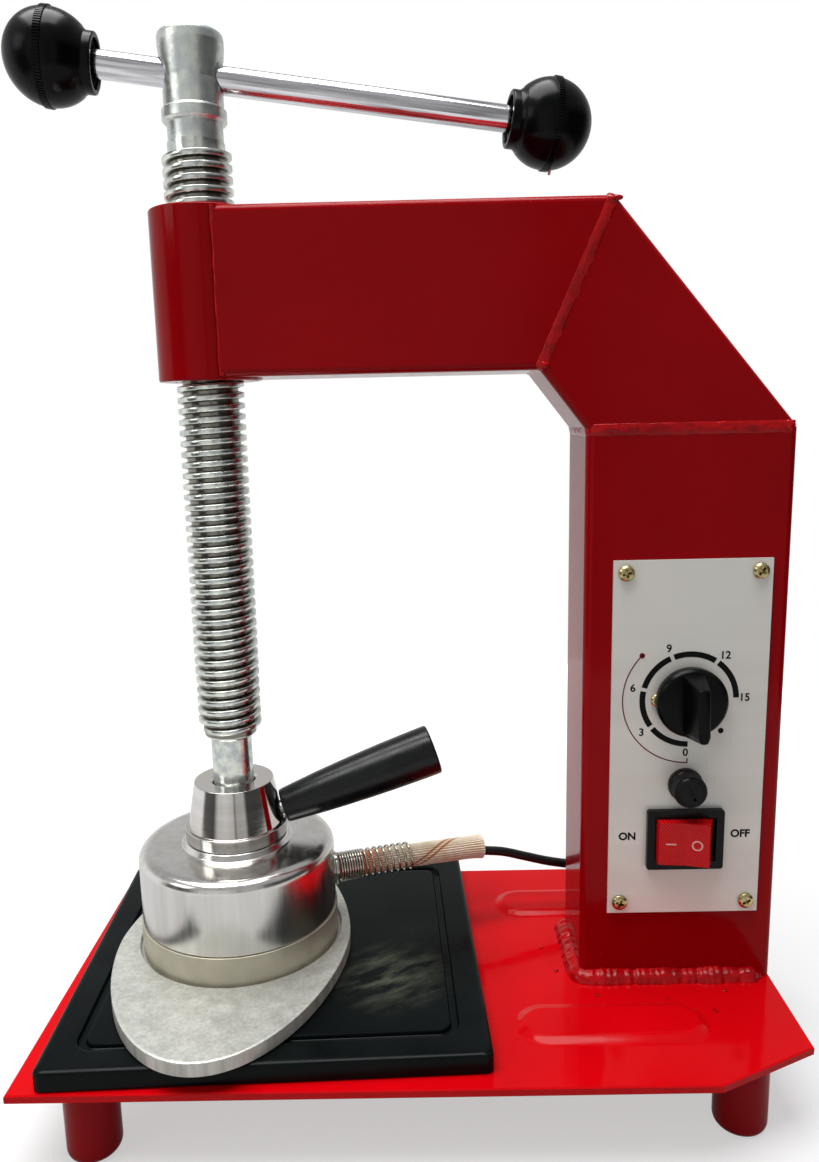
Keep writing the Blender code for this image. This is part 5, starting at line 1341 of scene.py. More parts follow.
@dataclass
class Gantry:
    """Column, elbow, arm and screw boss, all of rectangular tube but for the boss."""

    column_width: float = 80
    column_height: float = 228.8
    column_left: float = 145.6
    depth: float = 40.6
    wall: float = 2
    corner: float = 3
    gap: float = 0.3
    inner: Point2 = (-17.6, 22.9)
    outer: Point2 = (9.4, 84.5)
    arm_start: float = 8.5
    boss_radius: float = 19.6
    boss_bore: float = 13.5
    boss_overhang: float = 1
    window: Point2 = (48, 126)
    window_centre: Point2 = (187.3, 105)
    cord_holes: tuple[Point3, ...] = ((172.6, 20.5, 4.2), (209.6, 36, 5.8))

    def section(self, centre: Vector, across: Vector, length: float, thinner: float = 0) -> list[Vector]:
        """A tube's section in the plane of one direction and Y.

        Args:
            centre: The section's middle.
            across: The direction of its long side.
            length: The long side's length.
            thinner: How far inside the outer surface it runs.

        Returns:
            Its points.
        """
        sides = (length - 2 * thinner, self.depth - 2 * thinner)
        outline = rounded_rectangle(*sides, self.corner - thinner * 0.9)
        return [centre + across * a + Vector((0, b, 0)) for a, b in outline]

    def tube(self, node: str, stations: Sequence[tuple], cuts: Sequence[tuple[Skin, Matrix]] = ()) -> None:
        """Builds a hollow tube between sections.

        Args:
            node: The CAD node it stands for.
            stations: Middle, direction and length of each section.
            cuts: What is cut out of it, with each cutter's matrix.
        """
        rings = [self.section(*station) for station in stations]
        rings += [self.section(*station, self.wall) for station in reversed(stations)]
        skin = Skin().stack(rings, looped=True)
        skin.piece(node + "_tube", ENAMEL, Body.FRAME, at(), node, cuts=cuts, angle=30, weighted=True)

    def build(self) -> None:
        """Builds the four pieces and their welds."""
        left, top = self.column_left, self.column_height
        middle = left + self.column_width / 2
        inner = Vector((left + self.inner[0], 0, top + self.inner[1]))
        outer = Vector((left + self.outer[0], 0, top + self.outer[1]))
        mitre = outer - inner
        joint = (inner + outer) / 2
        levels = [(Vector((middle, 0, z)), RIGHT, self.column_width) for z in (self.gap, top, top + self.gap)]

        x, z = self.window_centre
        wide, high = self.window[0] / 2, self.window[1] / 2
        front = -self.depth / 2
        window = Skin().box((x - wide, front - 2, z - high), (x + wide, front + self.wall + 0.8, z + high))
        cuts = [(window, at())]
        for x, z, radius in self.cord_holes:
            cuts.append((Skin().rod(radius, -4, 4), at(x, self.depth / 2, z, turned(X=90))))
        self.tube("column", levels[:2], cuts)
        self.tube("elbow", [levels[2], (joint, mitre.normalized(), mitre.length)])
        saddle = Skin().rod(self.boss_radius + self.gap, inner.z - 5, outer.z + 5, 96)
        arm_end = Vector((self.arm_start, 0, (inner.z + outer.z) / 2))
        stations = [
            (arm_end, UP, outer.z - inner.z),
            (joint - RIGHT * self.gap, mitre.normalized(), mitre.length),
        ]
        self.tube("arm", stations, [(saddle, at())])

        low, high = inner.z - self.boss_overhang, outer.z + self.boss_overhang
        bore, radius, centre = self.boss_bore, self.boss_radius, (low + high) / 2
        corners = [(bore, centre, 0), (bore, low, 0.5), (radius, low, 0.9), (radius, high, 0.9)]
        boss = Skin().lathe(soften([*corners, (bore, high, 0.5), (bore, centre + 1, 0)]), 128, looped=True)
        boss.piece("screw_boss_sleeve", ENAMEL, Body.FRAME, at(), "screw_boss", weighted=True)
        self.weld_tubes(inner, outer, middle)
        self.weld_boss(inner.z, outer.z)

    def open_run(self, reach: float) -> list[Point2]:
        """The part of the column's outline that a weld can follow: all but its right end.

        Args:
            reach: How far right of the middle it goes.

        Returns:
            The points of the run, from one end to the other.
        """
        outline = rounded_rectangle(self.column_width, self.depth, self.corner)
        run = [point for point in outline if point[0] < reach]
        return [(reach, run[0][1]), *run, (reach, run[-1][1])]

    def weld_tubes(self, inner: Vector, outer: Vector, middle: float) -> None:
        """Welds the column's foot, its top and the mitre, and leaves spatter.

        Args:
            inner: The lower corner of the mitre.
            outer: Its upper corner.
            middle: The column's middle.
        """
        top, shift = self.column_height, RIGHT * -0.15
        foot, head = Vector((middle, 0, 0)), Vector((middle, 0, top + 0.15))
        start, end = inner + shift, outer + shift
        ring = rounded_rectangle((end - start).length, self.depth, self.corner)
        ways = ((end - start).normalized(), BACK)
        for weld in (
            TubeWeld(
                "column_foot_weld", foot, (RIGHT, BACK), self.open_run(37), 4.7, 4.6, 3,
                closed=False, fillet=True, lump=0.17, ripple=2.2,
            ),
            TubeWeld(
                "column_top_weld", head, (RIGHT, BACK), self.open_run(38.8), 4.6, 0.42, 5,
                closed=False, lump=0.6,
            ),
            TubeWeld("mitre_weld", (start + end) / 2, ways, ring, 4.2, 0.3, 8, lump=0.45, ripple=5),
        ):
            weld.build()
        left, right = self.column_left, self.column_left + self.column_width
        front = -self.depth / 2
        upright, lying, long = (1, 0.35, 1), (1, 1, 0.4), (1, 1.5, 0.4)
        drops = (
            (outer.x - 0.5, front + 0.4, outer.z - 1.4, 2.6, (1, 0.4, 0.6)),
            (inner.x + 0.5, front + 0.3, inner.z + 1.6, 2.6, (1, 0.35, 0.7)),
            (right - 3.4, front + 0.4, top + 0.4, 2.3, (1, 0.4, 0.8)),
            (right - 12, front + 0.2, top - 0.2, 1.5, upright),
            (left + 9, front + 0.2, 11, 0.8, upright),
            (left + 24, front + 0.2, 8.5, 0.6, upright),
            (right - 14, front + 0.2, 10, 0.7, upright),
            (left + 5, front - 11, 0.2, 0.9, lying),
            (left + 33, front - 14, 0.2, 0.7, lying),
            (right - 22, front - 9.5, 0.2, 0.8, lying),
            (left - 9, front + 6, 0.2, 1, lying),
            (left - 13, 3, 0.2, 0.8, lying),
            (left - 22, front - 20, 0.2, 0.8, (1, 1.6, 0.4)),
            (left - 10, front - 19, 0.2, 0.7, long),
            (right - 30, front - 22, 0.2, 0.9, long),
        )
        Spatter("weld_spatter", drops).build()

    def weld_boss(self, low: float, high: float) -> None:
        """Welds the boss to the arm along four seams.

        Args:
            low: The arm's lower face.
            high: Its upper face.
        """
        for name, side in (("front", -1), ("back", 1)):
            x, y = self.arm_start + 0.3, side * (self.depth / 2 - 1.4)
            first, last = Vector((x, y, low + 0.5)), Vector((x, y, high - 0.5))
            count = max(2, int((last - first).length / 0.8))
            path = [first.lerp(last, index / count) for index in range(count + 1)]
            WeldBead(f"boss_weld_{name}", path, 1.35, 11 + side, lump=0.16).build()
        reach = radians(62)
        for name, height, seed in (("upper", high, 31), ("lower", low, 37)):
            path = [Vector((x, y, height)) for x, y in arc(20, -reach, reach, 60)]
            WeldBead(f"boss_weld_{name}", path, 0.8, seed, lump=0.25).build()


@dataclass
class PressScrew:
    """The threaded spindle with its plain neck and its drilled head."""

    root: float = 10.8
    crest: float = 13.1
    pitch: float = 4.23
    turns: int = 54
    start: float = 105.8
    relief: float = 0.4
    run_out: float = 0.25
    sides: int = 72
    neck_bottom: float = 62.3
    neck_radius: float = 8.5
    groove_radius: float = 7.1
    groove: Point2 = (64.2, 66.2)
    shoulder: float = 10.4
    collar: float = 12.1
    collar_bottom: float = 345.7
    collar_top: float = 351
    waist: float = 11.2
    waist_top: float = 360.2
    head_radius: float = 12.3
    head_bottom: float = 373
    head_top: float = 377.2
    hole_radius: float = 6.65
    hole_height: float = 362.5
    hole_turn: float = 6.2
    form: tuple[Point2, ...] = (
        (0.14, 0.02), (0.235, 0.66), (0.28, 0.94), (0.33, 1),
        (0.69, 1), (0.74, 0.94), (0.785, 0.66), (0.88, 0.02),
    )

    def build(self) -> None:
        """Builds the thread and the head."""
        self.build_thread()
        self.build_head()

    def wound(self, skin: Skin, row: int, share: float, height: float) -> Vert:
        """Adds a point of the winding.

        Args:
            skin: The thread's skin.
            row: How many points have gone before on the way round.
            share: How far up the pitch it stands.
            height: How far out it stands, from the root at zero to the crest at one.

        Returns:
            The point.
        """
        angle = pi + FULL * (row % self.sides) / self.sides
        radius = self.root + (self.crest - self.root) * height
        level = self.start + self.pitch * (row / self.sides + share)
        return skin.shape.verts.new((radius * cos(angle), radius * sin(angle), level))

    def build_thread(self) -> None:
        """Draws the thread as one strip wound round the core, with the neck below it."""
        sides = self.sides
        rows = self.turns * sides
        skin = Skin()
        new_face = skin.shape.faces.new

        def ring(radius: float, height: float) -> list[Vert]:
            """A level ring whose points stand in line with the thread's."""
            return skin.ring([(x, y, height) for x, y in arc(radius, pi, pi + FULL, sides)[:-1]])

        roots = [self.wound(skin, row, 0, 0) for row in range(rows + sides + 1)]
        strips = []
        for row in range(rows + 1):
            rise = max(0, min(1, row / sides / self.run_out, (rows - row) / sides / self.run_out))
            strips.append([self.wound(skin, row, share, rise * height) for share, height in self.form])
        for row in range(rows):
            here = [roots[row], *strips[row], roots[row + sides]]
            there = [roots[row + 1], *strips[row + 1], roots[row + 1 + sides]]
            for index in range(len(here) - 1):
                new_face((here[index], there[index], there[index + 1], here[index + 1]))
        low = ring(self.root, self.start - self.relief)
        high = ring(self.root, self.start + self.pitch * (self.turns + 1) + self.relief)
        for side in range(sides - 1):
            new_face((low[side], low[side + 1], roots[side + 1], roots[side]))
        new_face((low[-1], low[0], roots[0], *strips[0], roots[sides], roots[sides - 1]))
        for side in range(1, sides):
            new_face((roots[rows + side], roots[rows + side + 1], high[(side + 1) % sides], high[side]))
        end = [roots[rows], roots[rows + 1], high[1], high[0], roots[rows + sides]]
        new_face([*end, *reversed(strips[rows])])
        new_face(high)
        neck, groove = self.neck_radius, self.groove_radius
        corners = [(0, self.neck_bottom, 0), (neck, self.neck_bottom, 0.5)]
        for height, radii in zip(self.groove, ((neck, groove), (groove, neck))):
            corners += [(radius, height, 0) for radius in radii]
        corners += [(neck, self.start - self.relief - 1.2, 0.6), (self.root, self.start - self.relief, 0)]
        rings = [ring(radius, height) for radius, height in soften(corners)[1:-1]] + [low]
        new_face(rings[0])
        for lower, upper in zip(rings, rings[1:]):
            skin.bridge(lower, upper)
        skin.piece("press_screw_thread", THREAD, Body.SCREW, at(), "press_screw", angle=42)

    def build_head(self) -> None:
        """Turns the head, its collar and shoulder, and drills the cross hole."""
        bottom = self.start + self.pitch * (self.turns + 1) + self.relief + 0.02
        corners = [
            (0, bottom, 0),
            (self.shoulder, bottom, 0),
            (self.shoulder, self.collar_bottom, 0.3),
            (self.collar - 0.8, self.collar_bottom, 0.2),
            (self.collar, self.collar_bottom + 0.8, 0.3),
            (self.collar, self.collar_top - 0.8, 0.3),
            (self.waist, self.collar_top, 0.5),
            (self.waist, self.waist_top, 8),
            (self.head_radius, self.head_bottom, 3),
            (self.head_radius - 0.2, self.head_top, 2.2),
            (0, self.head_top - 0.4, 0),
        ]
        turn = turned(Z=self.hole_turn, Y=90)
        hole = (Skin().rod(self.hole_radius, -25, 25, 64), at(z=self.hole_height, turn=turn))
        head = Skin().lathe(soften(corners, 6), 144)
        head.piece("press_screw_head", ZINC_HEAD, Body.SCREW, at(), cuts=[hole], angle=30, weighted=True)


@dataclass
class CrossBar:
    """The sliding bar and its two ball knobs."""

    radius: float = 5
    left: float = 51.2
    right: float = 137.2
    height: float = 362.5
    turn: float = 6.2
    tilt: float = 6.5
    grip: float = 5
    ball: float = 16.65
    collar: float = 10.6
    collar_length: float = 3.3
    recess: float = 8.6
    recess_depth: float = 2
    ball_steps: int = 48
    band_offset: float = 0.8
    band_width: float = 3
    band_height: float = 0.5
    band_form: tuple[Point2, ...] = (
        (-1, -0.25), (-0.94, 0.5), (-0.8, 1), (0.8, 1), (0.94, 0.5), (1, -0.25),
    )
    sprue_offset: float = 2.4
    sprue_form: tuple[Point3, ...] = ((0, -0.6, 0), (0.75, -0.6, 0.1), (0.55, 1.9, 0.3), (0, 2.1, 0))
    teeth: int = 96
    tooth_sides: int = 8

    def build(self) -> None:
        """Builds the bar and the knobs."""
        turn = turned(Z=self.turn, Y=90 + self.tilt)
        axis = at(z=self.height, turn=turn)
        low, high = -self.left - self.grip, self.right + self.grip
        corners = [(0, low, 0), (self.radius, low, 0.6), (self.radius, high, 0.6), (0, high, 0)]
        bar = Skin().lathe(soften(corners), 64)
        bar.piece("cross_bar_rod", CHROME, Body.BAR, axis, "cross_bar", weighted=True)
        for name, reach, flip in (("right", self.right, 0), ("left", -self.left, 180)):
            self.build_knob(name, axis @ lifted(reach) @ turned(X=flip))

    def build_knob(self, name: str, place: Matrix) -> None:
        """Builds one ball with its collar, its moulding seam and a sprue mark.

        Args:
            name: Left or right.
            place: The ball's middle, Z pointing away from the bar.
        """
        start = -sqrt(self.ball**2 - self.collar**2)
        end = start - self.collar_length
        bore, stop = self.radius + 0.3, self.grip + 0.3
        inside = [(bore, end + self.recess_depth, 0), (self.recess, end + self.recess_depth, 0.4)]
        rim = [(self.recess, end, 0.5), (self.collar, end, 0.7), (self.collar, start - 0.2, 0.9)]
        profile = [(bore, stop), *soften([*inside, *rim, (self.collar + 0.9, start + 1.1, 0)])]
        first = atan2(start + 1.6, sqrt(self.ball**2 - (start + 1.6) ** 2))
        profile += [*arc(self.ball, first, QUARTER, self.ball_steps)[:-1], (0, self.ball), (0, stop)]
        ball = Skin().lathe(profile, 96)
        ball.piece(f"bar_knob_{name}_ball", PHENOLIC, Body.BAR, place, f"bar_knob_{name}", angle=40)
        self.build_seam(name, place)
        if name == "right":
            nub = Skin().lathe(soften(self.sprue_form), 20)
            down = place @ lifted(self.sprue_offset) @ turned(Y=-90) @ lifted(0.1 - self.ball)
            mark = nub.solid("bar_knob_right_sprue", WHITE_NYLON, down @ turned(X=180))
            smooth(mark)
            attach(mark, Body.BAR.value)

    def build_seam(self, name: str, place: Matrix) -> None:
        """Draws the toothed band where the ball's two halves meet.

        Args:
            name: Left or right.
            place: The ball's middle, Z pointing away from the bar.
        """
        count = self.teeth * self.tooth_sides
        inner = circle(self.ball - 1.6, count)
        rings = []
        for along, lift in self.band_form:
            z = self.band_offset + along * self.band_width / 2
            base = sqrt(self.ball**2 - z**2)
            ring = []
            for index in range(count):
                angle = FULL * index / count
                tooth = 1 if index % self.tooth_sides < self.tooth_sides // 2 + 1 else 0.25
                reach = base + (self.band_height * tooth * lift if lift > 0 else lift)
                ring.append((reach * cos(angle), reach * sin(angle), z))
            rings.append(ring)
        ends = [[(x, y, ring[0][2]) for x, y in inner] for ring in (rings[0], rings[-1])]
        band = Skin().stack([ends[0], *rings, ends[1]], looped=True)
        band.piece(f"bar_knob_{name}_seam", PHENOLIC, Body.BAR, place, angle=25)


@dataclass
class HeaterHead:
    """Heating plate, cover, hub and handle."""

    plate_radius: float = 42.2
    plate_bottom: float = 12.5
    plate_top: float = 26
    spigot: float = 2.5
    cover_radius: float = 41.6
    cover_bottom: float = 26.3
    cover_top: float = 57
    cover_wall: float = 1.5
    shoulder: float = 5
    boss_base: float = 23.2
    boss_crown: float = 21.8
    boss_top: float = 59.7
    flange: float = 21.6
    hub_bottom: float = 60
    flange_top: float = 65.4
    cone_base: float = 20.1
    cone_top: float = 16.7
    hub_top: float = 84.5
    bore: float = 8.8
    pocket: float = 13
    pocket_top: float = 66.2
    handle_height: float = 63.49
    handle_turn: float = 10
    handle_rise: float = 17
    stud_radius: float = 3.3
    grip_start: float = 21.5
    grip_length: float = 70
    grip_small: float = 7.5
    grip_large: float = 11
    grip_form: tuple[Point2, ...] = (
        (0.03, 0), (0.14, 0.2), (0.25, 0.4), (0.4, 0.6), (0.55, 0.76),
        (0.68, 0.87), (0.8, 0.94), (0.9, 0.985), (0.965, 1),
    )
    lead_turn: float = 18
    lead_height: float = 35.3
    lead_hole: Point3 = (6.5, 36, 44)

    def build(self) -> None:
        """Builds the heated head from the plate up."""
        self.build_plate()
        self.build_cover()
        self.build_hub()
        self.build_handle()

    def build_plate(self) -> None:
        """Turns the heating plate."""
        radius, low, top = self.plate_radius, self.plate_bottom, self.plate_top
        inner, crown = self.cover_radius - self.cover_wall - 0.3, self.plate_top + self.spigot
        corners = [(0, low, 0), (radius, low, 0.4), (radius, top, 0.35), (inner, top, 0)]
        plate = Skin().lathe(soften([*corners, (inner, crown, 0.3), (0, crown, 0)]), 160)
        plate.piece(
            "heating_plate_disc", HEATING_ALUMINIUM, Body.HEATER, at(), "heating_plate", weighted=True
        )

    def build_cover(self) -> None:
        """Spins the cover and cuts the hole for the lead."""
        radius, low, top = self.cover_radius, self.cover_bottom, self.cover_top
        inner = radius - self.cover_wall
        outside = [(inner, low, 0), (radius, low, 0.4), (radius, top, self.shoulder)]
        outside += [(self.boss_base, top, 1.2), (self.boss_crown, self.boss_top, 0.6), (0, self.boss_top, 0)]
        ceiling = top - self.cover_wall
        inside = [(0, ceiling, 0), (inner, ceiling, self.shoulder - self.cover_wall), (inner, low + 2, 0)]
        turn = turned(Z=self.lead_turn, Y=90)
        cuts = [(Skin().rod(*self.lead_hole, 40), at(z=self.lead_height, turn=turn))]
        cover = Skin().lathe(soften(outside, 10) + soften(inside, 6), 192, looped=True)
        cover.piece(
            "heater_cover_cup", SPUN_STEEL, Body.HEATER, at(), "heater_cover",
            cuts=cuts, angle=32, weighted=True,
        )

    def build_hub(self) -> None:
        """Turns the hub and drills it for the stud."""
        corners = [
            (self.pocket, self.hub_bottom + 3, 0),
            (self.pocket, self.hub_bottom, 0.2),
            (self.flange, self.hub_bottom, 0.45),
            (self.flange, self.flange_top, 0.45),
            (self.cone_base, self.flange_top, 0.3),
            (self.cone_top, self.hub_top, 0.35),
            (self.bore + 1, self.hub_top, 0.15),
            (self.bore, self.hub_top - 1, 0.2),
            (self.bore, self.pocket_top, 0),
            (self.pocket, self.pocket_top, 0),
        ]
        cuts = [(Skin().rod(self.stud_radius, 14.2, 40), self.handle_axis())]
        hub = Skin().lathe(soften(corners), 160, looped=True)
        hub.piece(
            "heater_hub_cone", TURNED_STEEL, Body.HEATER, at(), "heater_hub",
            cuts=cuts, angle=32, weighted=True,
        )

    def handle_axis(self) -> Matrix:
        """The handle's own axes: Z runs out along it."""
        return at(z=self.handle_height, turn=turned(Z=self.handle_turn, Y=90 - self.handle_rise))

    def build_handle(self) -> None:
        """Turns the tapered grip."""
        small, large, start = self.grip_small, self.grip_large, self.grip_start
        end, hole, depth = start + self.grip_length, self.stud_radius, start + 34
        corners = [(hole, start + 4, 0), (hole, start, 0.4), (small + (large - small) * -0.1, start, 0.7)]
        for along, share in self.grip_form:
            corners.append((small + (large - small) * share, start + self.grip_length * along, 6))
        corners += [(large, end, 1.7), (large * 0.55, end + 0.02, 0), (0, end + 0.03, 0)]
        grip = Skin().lathe(soften([*corners, (0, depth, 0), (hole, depth, 0)]), 96, looped=True)
        grip.piece("heater_handle_grip", GRIP, Body.HEATER, self.handle_axis(), "heater_handle")


@dataclass
class Bed:
    """The rubber pad and the die plate that lies on it."""

    pad_length: float = 166.5
    pad_depth: float = 152
    pad_bottom: float = 0.3
    pad_top: float = 8.3
    pad_corner: float = 3
    pad_turn: float = 2.2
    pad_offset: Point2 = (18.8, -3.5)
    groove_inset: float = 11.5
    groove_width: float = 3
    groove_depth: float = 2
    groove_corner: float = 7
    die_length: float = 158
    die_width: float = 99.4
    die_bottom: float = 8.6
    die_top: float = 14.4
    die_floor: float = 12.2
    die_turn: float = -1.2
    die_offset: Point2 = (-1.4, -7.5)
    die_power: float = 1.7
    recess: float = 43.4
    die_points: int = 240

    def build(self) -> None:
        """Builds the pad and the die plate."""
        self.build_pad()
        self.build_die()

    def build_pad(self) -> None:
        """Moulds the pad with its round edges and its groove."""
        top, low, edge = self.pad_top, self.pad_top - self.groove_depth, self.pad_corner
        outer, inner = self.groove_inset, self.groove_inset + self.groove_width
        corner = self.groove_corner
        section = (
            (0.5, self.pad_bottom, edge),
            (0, self.pad_bottom + 0.5, edge),
            (0, top - 1.6, edge),
            (0.15, top - 1, edge),
            (0.6, top - 0.35, edge),
            (1.6, top, edge),
            (2.6, top + 0.02, edge),
            (outer - 1, top, corner + 0.8),
            (outer - 0.3, top - 0.2, corner + 0.3),
            (outer, top - 0.7, corner),
            (outer + 0.2, low + 0.3, corner),
            (outer + 0.6, low, corner - 0.4),
            (inner - 0.6, low, corner - 1.6),
            (inner - 0.2, low + 0.3, corner - 2),
            (inner, top - 0.7, corner - 2.2),
            (inner + 0.3, top - 0.2, corner - 2.4),
            (inner + 1, top, corner - 2.8),
        )
        levels = []
        for inset, height, radius in section:
            sides = (self.pad_length - 2 * inset, self.pad_depth - 2 * inset)
            levels.append((rounded_rectangle(*sides, radius), height))
        place = at(*self.pad_offset, turn=turned(Z=self.pad_turn))
        pad = Skin().loft(levels)
        pad.piece("base_pad_mat", DUSTY_RUBBER, Body.FRAME, place, "base_pad", angle=40, weighted=True)

    def die_ring(self, inset: float) -> list[Point2]:
        """The die's outline: an oval a little pointed at its ends, with points spread by angle.

        Args:
            inset: How far inside the die's edge it runs.

        Returns:
            Its points.
        """
        points = []
        half_width, half_length = self.die_width / 2 - inset, self.die_length / 2 - inset
        for index in range(self.die_points):
            angle = FULL * index / self.die_points
            along = copysign(abs(sin(angle)) ** (2 / self.die_power), sin(angle))
            x = half_width * cos(angle) + self.die_offset[0]
            points.append((x, half_length * along + self.die_offset[1]))
        return points

    def die_circle(self, radius: float) -> list[Point2]:
        """A circle whose points stand in the direction of the outline's."""
        angles = [atan2(y, x) for x, y in self.die_ring(0)]
        return [(radius * cos(angle), radius * sin(angle)) for angle in angles]

    def build_die(self) -> None:
        """Casts the die plate, and files its edge."""
        low, top = self.die_bottom, self.die_top
        levels = [(self.die_circle(self.recess - 4), low)]
        rims = [(0.5, low), (0.1, low + 0.3), (0, top - 0.7), (0.2, top - 0.25), (0.7, top)]
        rims.append((1.4, top + 0.01))
        levels += [(self.die_ring(inset), height) for inset, height in rims]
        for wider, height in ((0.4, top), (0, top - 0.4), (0, self.die_floor)):
            levels.append((self.die_circle(self.recess + wider), height))
        place = at(turn=turned(Z=self.die_turn))
        die = Skin().loft(levels).solid("die_plate_casting", CAST_ALUMINIUM, place)
        smooth(die, 35, weighted=True)
        die.data.materials.append(FILED_ALUMINIUM.material())
        for face in die.data.polygons:
            low_band = low + 0.25 < face.center.z / MM < top - 0.3
            if low_band and abs(face.normal.z) < 0.35 and face.center.xy.length / MM > self.recess + 1:
                face.material_index = 1
        seat(die, Body.DIE, CAST_ALUMINIUM, "die_plate")


@dataclass
class Lead:
    """The heater's lead: ferrule, kink spring, braided sleeve and cable, and what they enter."""

    turn: float = 18
    height: float = 35.3
    droop: float = 1.8
    reach: float = 113.7
    start: float = 43.5
    inner_reach: float = 37
    ferrule: tuple[Point3, ...] = ((5.4, 39.3, 0), (6.2, 39.3, 0.1), (6.2, 41.9, 0), (7.2, 41.9, 0.2))
    sleeve_radius: float = 5.1
    sleeve_steps: int = 70
    ribs: int = 30
    rib_height: float = 0.22
    free_from: float = 82
    flare_length: float = 7
    flare: float = 0.55
    slack: float = 0.14
    cable_drop: Point2 = (0.9, 2.4)
    wire: float = 1
    wire_steps: int = 40
    clearance: float = 0.45
    tight_pitch: float = 1.2
    tight_turns: int = 9
    open_pitch: float = 3
    open_turns: int = 8
    cable_radius: float = 2.1
    cable_points: int = 110
    cable_route: tuple[Point3, ...] = (
        (119, 37, 29.4),
        (129, 37.6, 26.7),
        (139, 37.8, 24.1),
        (148, 37.8, 22.5),
        (158, 37.4, 21.4),
        (167, 34.4, 20.8),
        (171.4, 27.8, 20.5),
        (172.6, 22.3, 20.5),
        (172.6, 18.3, 20.5),
        (172.6, 13.3, 20.5),
    )
    back: float = 20.3
    grommet: Point2 = (172.6, 20.5)
    grommet_form: tuple[Point3, ...] = (
        (2.4, -3.9, 0.3), (5.5, -3.9, 0.5), (5.5, -2.3, 0.3), (3.9, -2.3, 0),
        (3.9, 0.3, 0), (5.5, 0.3, 0.3), (5.5, 1.9, 0.9), (2.4, 1.9, 0.4),
    )
    gland: Point2 = (209.6, 36)
    gland_form: tuple[Point3, ...] = (
        (3.5, -6, 0.2), (5.5, -6, 0.3), (5.5, 0.3, 0), (7.5, 0.3, 0.2),
        (7.5, 4, 0.6), (6.1, 5, 0.3), (5.5, 12, 0.8), (3.5, 12, 0.4),
    )

    def on_lead(self, reach: float) -> Vector:
        """A point on the lead's middle line.

        Args:
            reach: Its distance from the press axis.

        Returns:
            The point.
        """
        share = max(0, (reach - self.start) / (self.reach - self.start))
        angle = radians(self.turn)
        return Vector((cos(angle) * reach, sin(angle) * reach, self.height - self.droop * share**2))

    def bend(
        self, skin: Skin, name: str, finish: Finish, bodies: Sequence[Body], ends: Sequence[Vector]
    ) -> Piece:
        """Makes a piece that runs between two bodies, rides it on neither, and hides the CAD node it stands
        for.

        Args:
            skin: Its skin.
            name: The CAD node it stands for, and one more word.
            finish: Its finish.
            bodies: The bodies it runs between, named in the report.
            ends: Where it leaves the first body and reaches the second one.

        Returns:
            The piece.
        """
        piece = skin.solid(name, finish, at())
        smooth(piece, 60)
        start, end = ((PRESS_POINT + point) * MM for point in ends)
        tuple(start)
        tuple(end)
        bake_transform(piece)
        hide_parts(name.rpartition("_")[0])
        LOG.info("%s bends between %s and %s", name, bodies[0].value, bodies[1].value)
        return piece

    def build(self) -> None:
        """Builds the lead from the heater to the column."""
        across = turned(Z=self.turn, Y=90)
        corners = [*self.ferrule, (7.2, self.start, 0.4), (5.4, self.start, 0.2)]
        collar = Skin().lathe(soften(corners), 64, looped=True)
        collar.piece("lead_ferrule_ring", ZINC, Body.HEATER, at(z=self.height, turn=across), "lead_ferrule")
        swivel = (self.on_lead(self.reach), self.on_lead(self.start + 8))
        joined = (Body.CARRIAGE, Body.HEATER)
        self.bend(self.sleeve(), "lead_sleeve_braid", SLEEVE, joined, swivel)
        self.bend(self.spring(), "lead_spring_wire", SPRING_WIRE, joined, swivel)
        self.build_cable()
        for name, finish, node, (x, z), form, seam in (
            ("lead_grommet_ring", RUBBER, "lead_grommet", self.grommet, self.grommet_form, 0),
            ("mains_gland_nut", NYLON, "mains_gland", self.gland, self.gland_form, 3),
        ):
            profile = [(form[0][0], seam), *soften(form)]
            ring = Skin().lathe(profile, 48, looped=True)
            ring.piece(name, finish, Body.FRAME, at(x, self.back, z, turned(X=-90)), node)

    def sleeve_girth(self, along: float, angle: float) -> float:
        """The sleeve's radius, with its ribs, its slack and its flare.

        Args:
            along: Millimetres along it.
            angle: The angle round it.

        Returns:
            The radius.
        """
        rib = self.rib_height * cos(self.ribs * angle)
        slack = self.slack * noise.noise(Vector((along / 7, cos(angle), sin(angle))))
        free = max(0, min(1, (along + self.inner_reach - self.free_from) / 10))
        past = along - (self.reach - self.inner_reach) + self.flare_length
        flare = self.flare * max(0, past / self.flare_length) ** 2
        return self.sleeve_radius - 0.1 + rib + slack * free + flare

    def sleeve(self) -> Skin:
        """Braids the sleeve, ribbed lengthwise, with a slightly flared end.

        Returns:
            Its skin.
        """
        steps, total = self.sleeve_steps, self.reach - self.inner_reach
        path = [self.on_lead(self.inner_reach + total * step / steps) for step in range(steps + 1)]
        skin = Skin().tube(path, self.sleeve_girth, self.ribs * 6)
        end = max(skin.shape.faces, key=lambda face: len(face.verts) * 1000 + face.calc_center_median().x)
        for width, depth in ((1.2, 0), (0.4, -2.2)):
            bmesh.ops.inset_individual(skin.shape, faces=[end], thickness=width, depth=depth)
        return skin

    def spring(self) -> Skin:
        """Winds the kink spring, close at the heater and open beyond.

        Returns:
            Its skin.
        """
        angle = radians(self.turn)
        across = Vector((-sin(angle), cos(angle), 0))
        radius = self.sleeve_radius + self.clearance + self.wire / 2
        start = self.start + 0.3 + self.wire / 2
        path = []
        for step in range((self.tight_turns + self.open_turns) * self.wire_steps + 1):
            turn = step / self.wire_steps
            along = turn * self.tight_pitch
            if turn > self.tight_turns:
                along = self.tight_turns * self.tight_pitch + (turn - self.tight_turns) * self.open_pitch
            wound = across * cos(FULL * turn) + UP * sin(FULL * turn)
            path.append(self.on_lead(start + along) + wound * radius)
        return Skin().tube(path, self.wire / 2, 10)

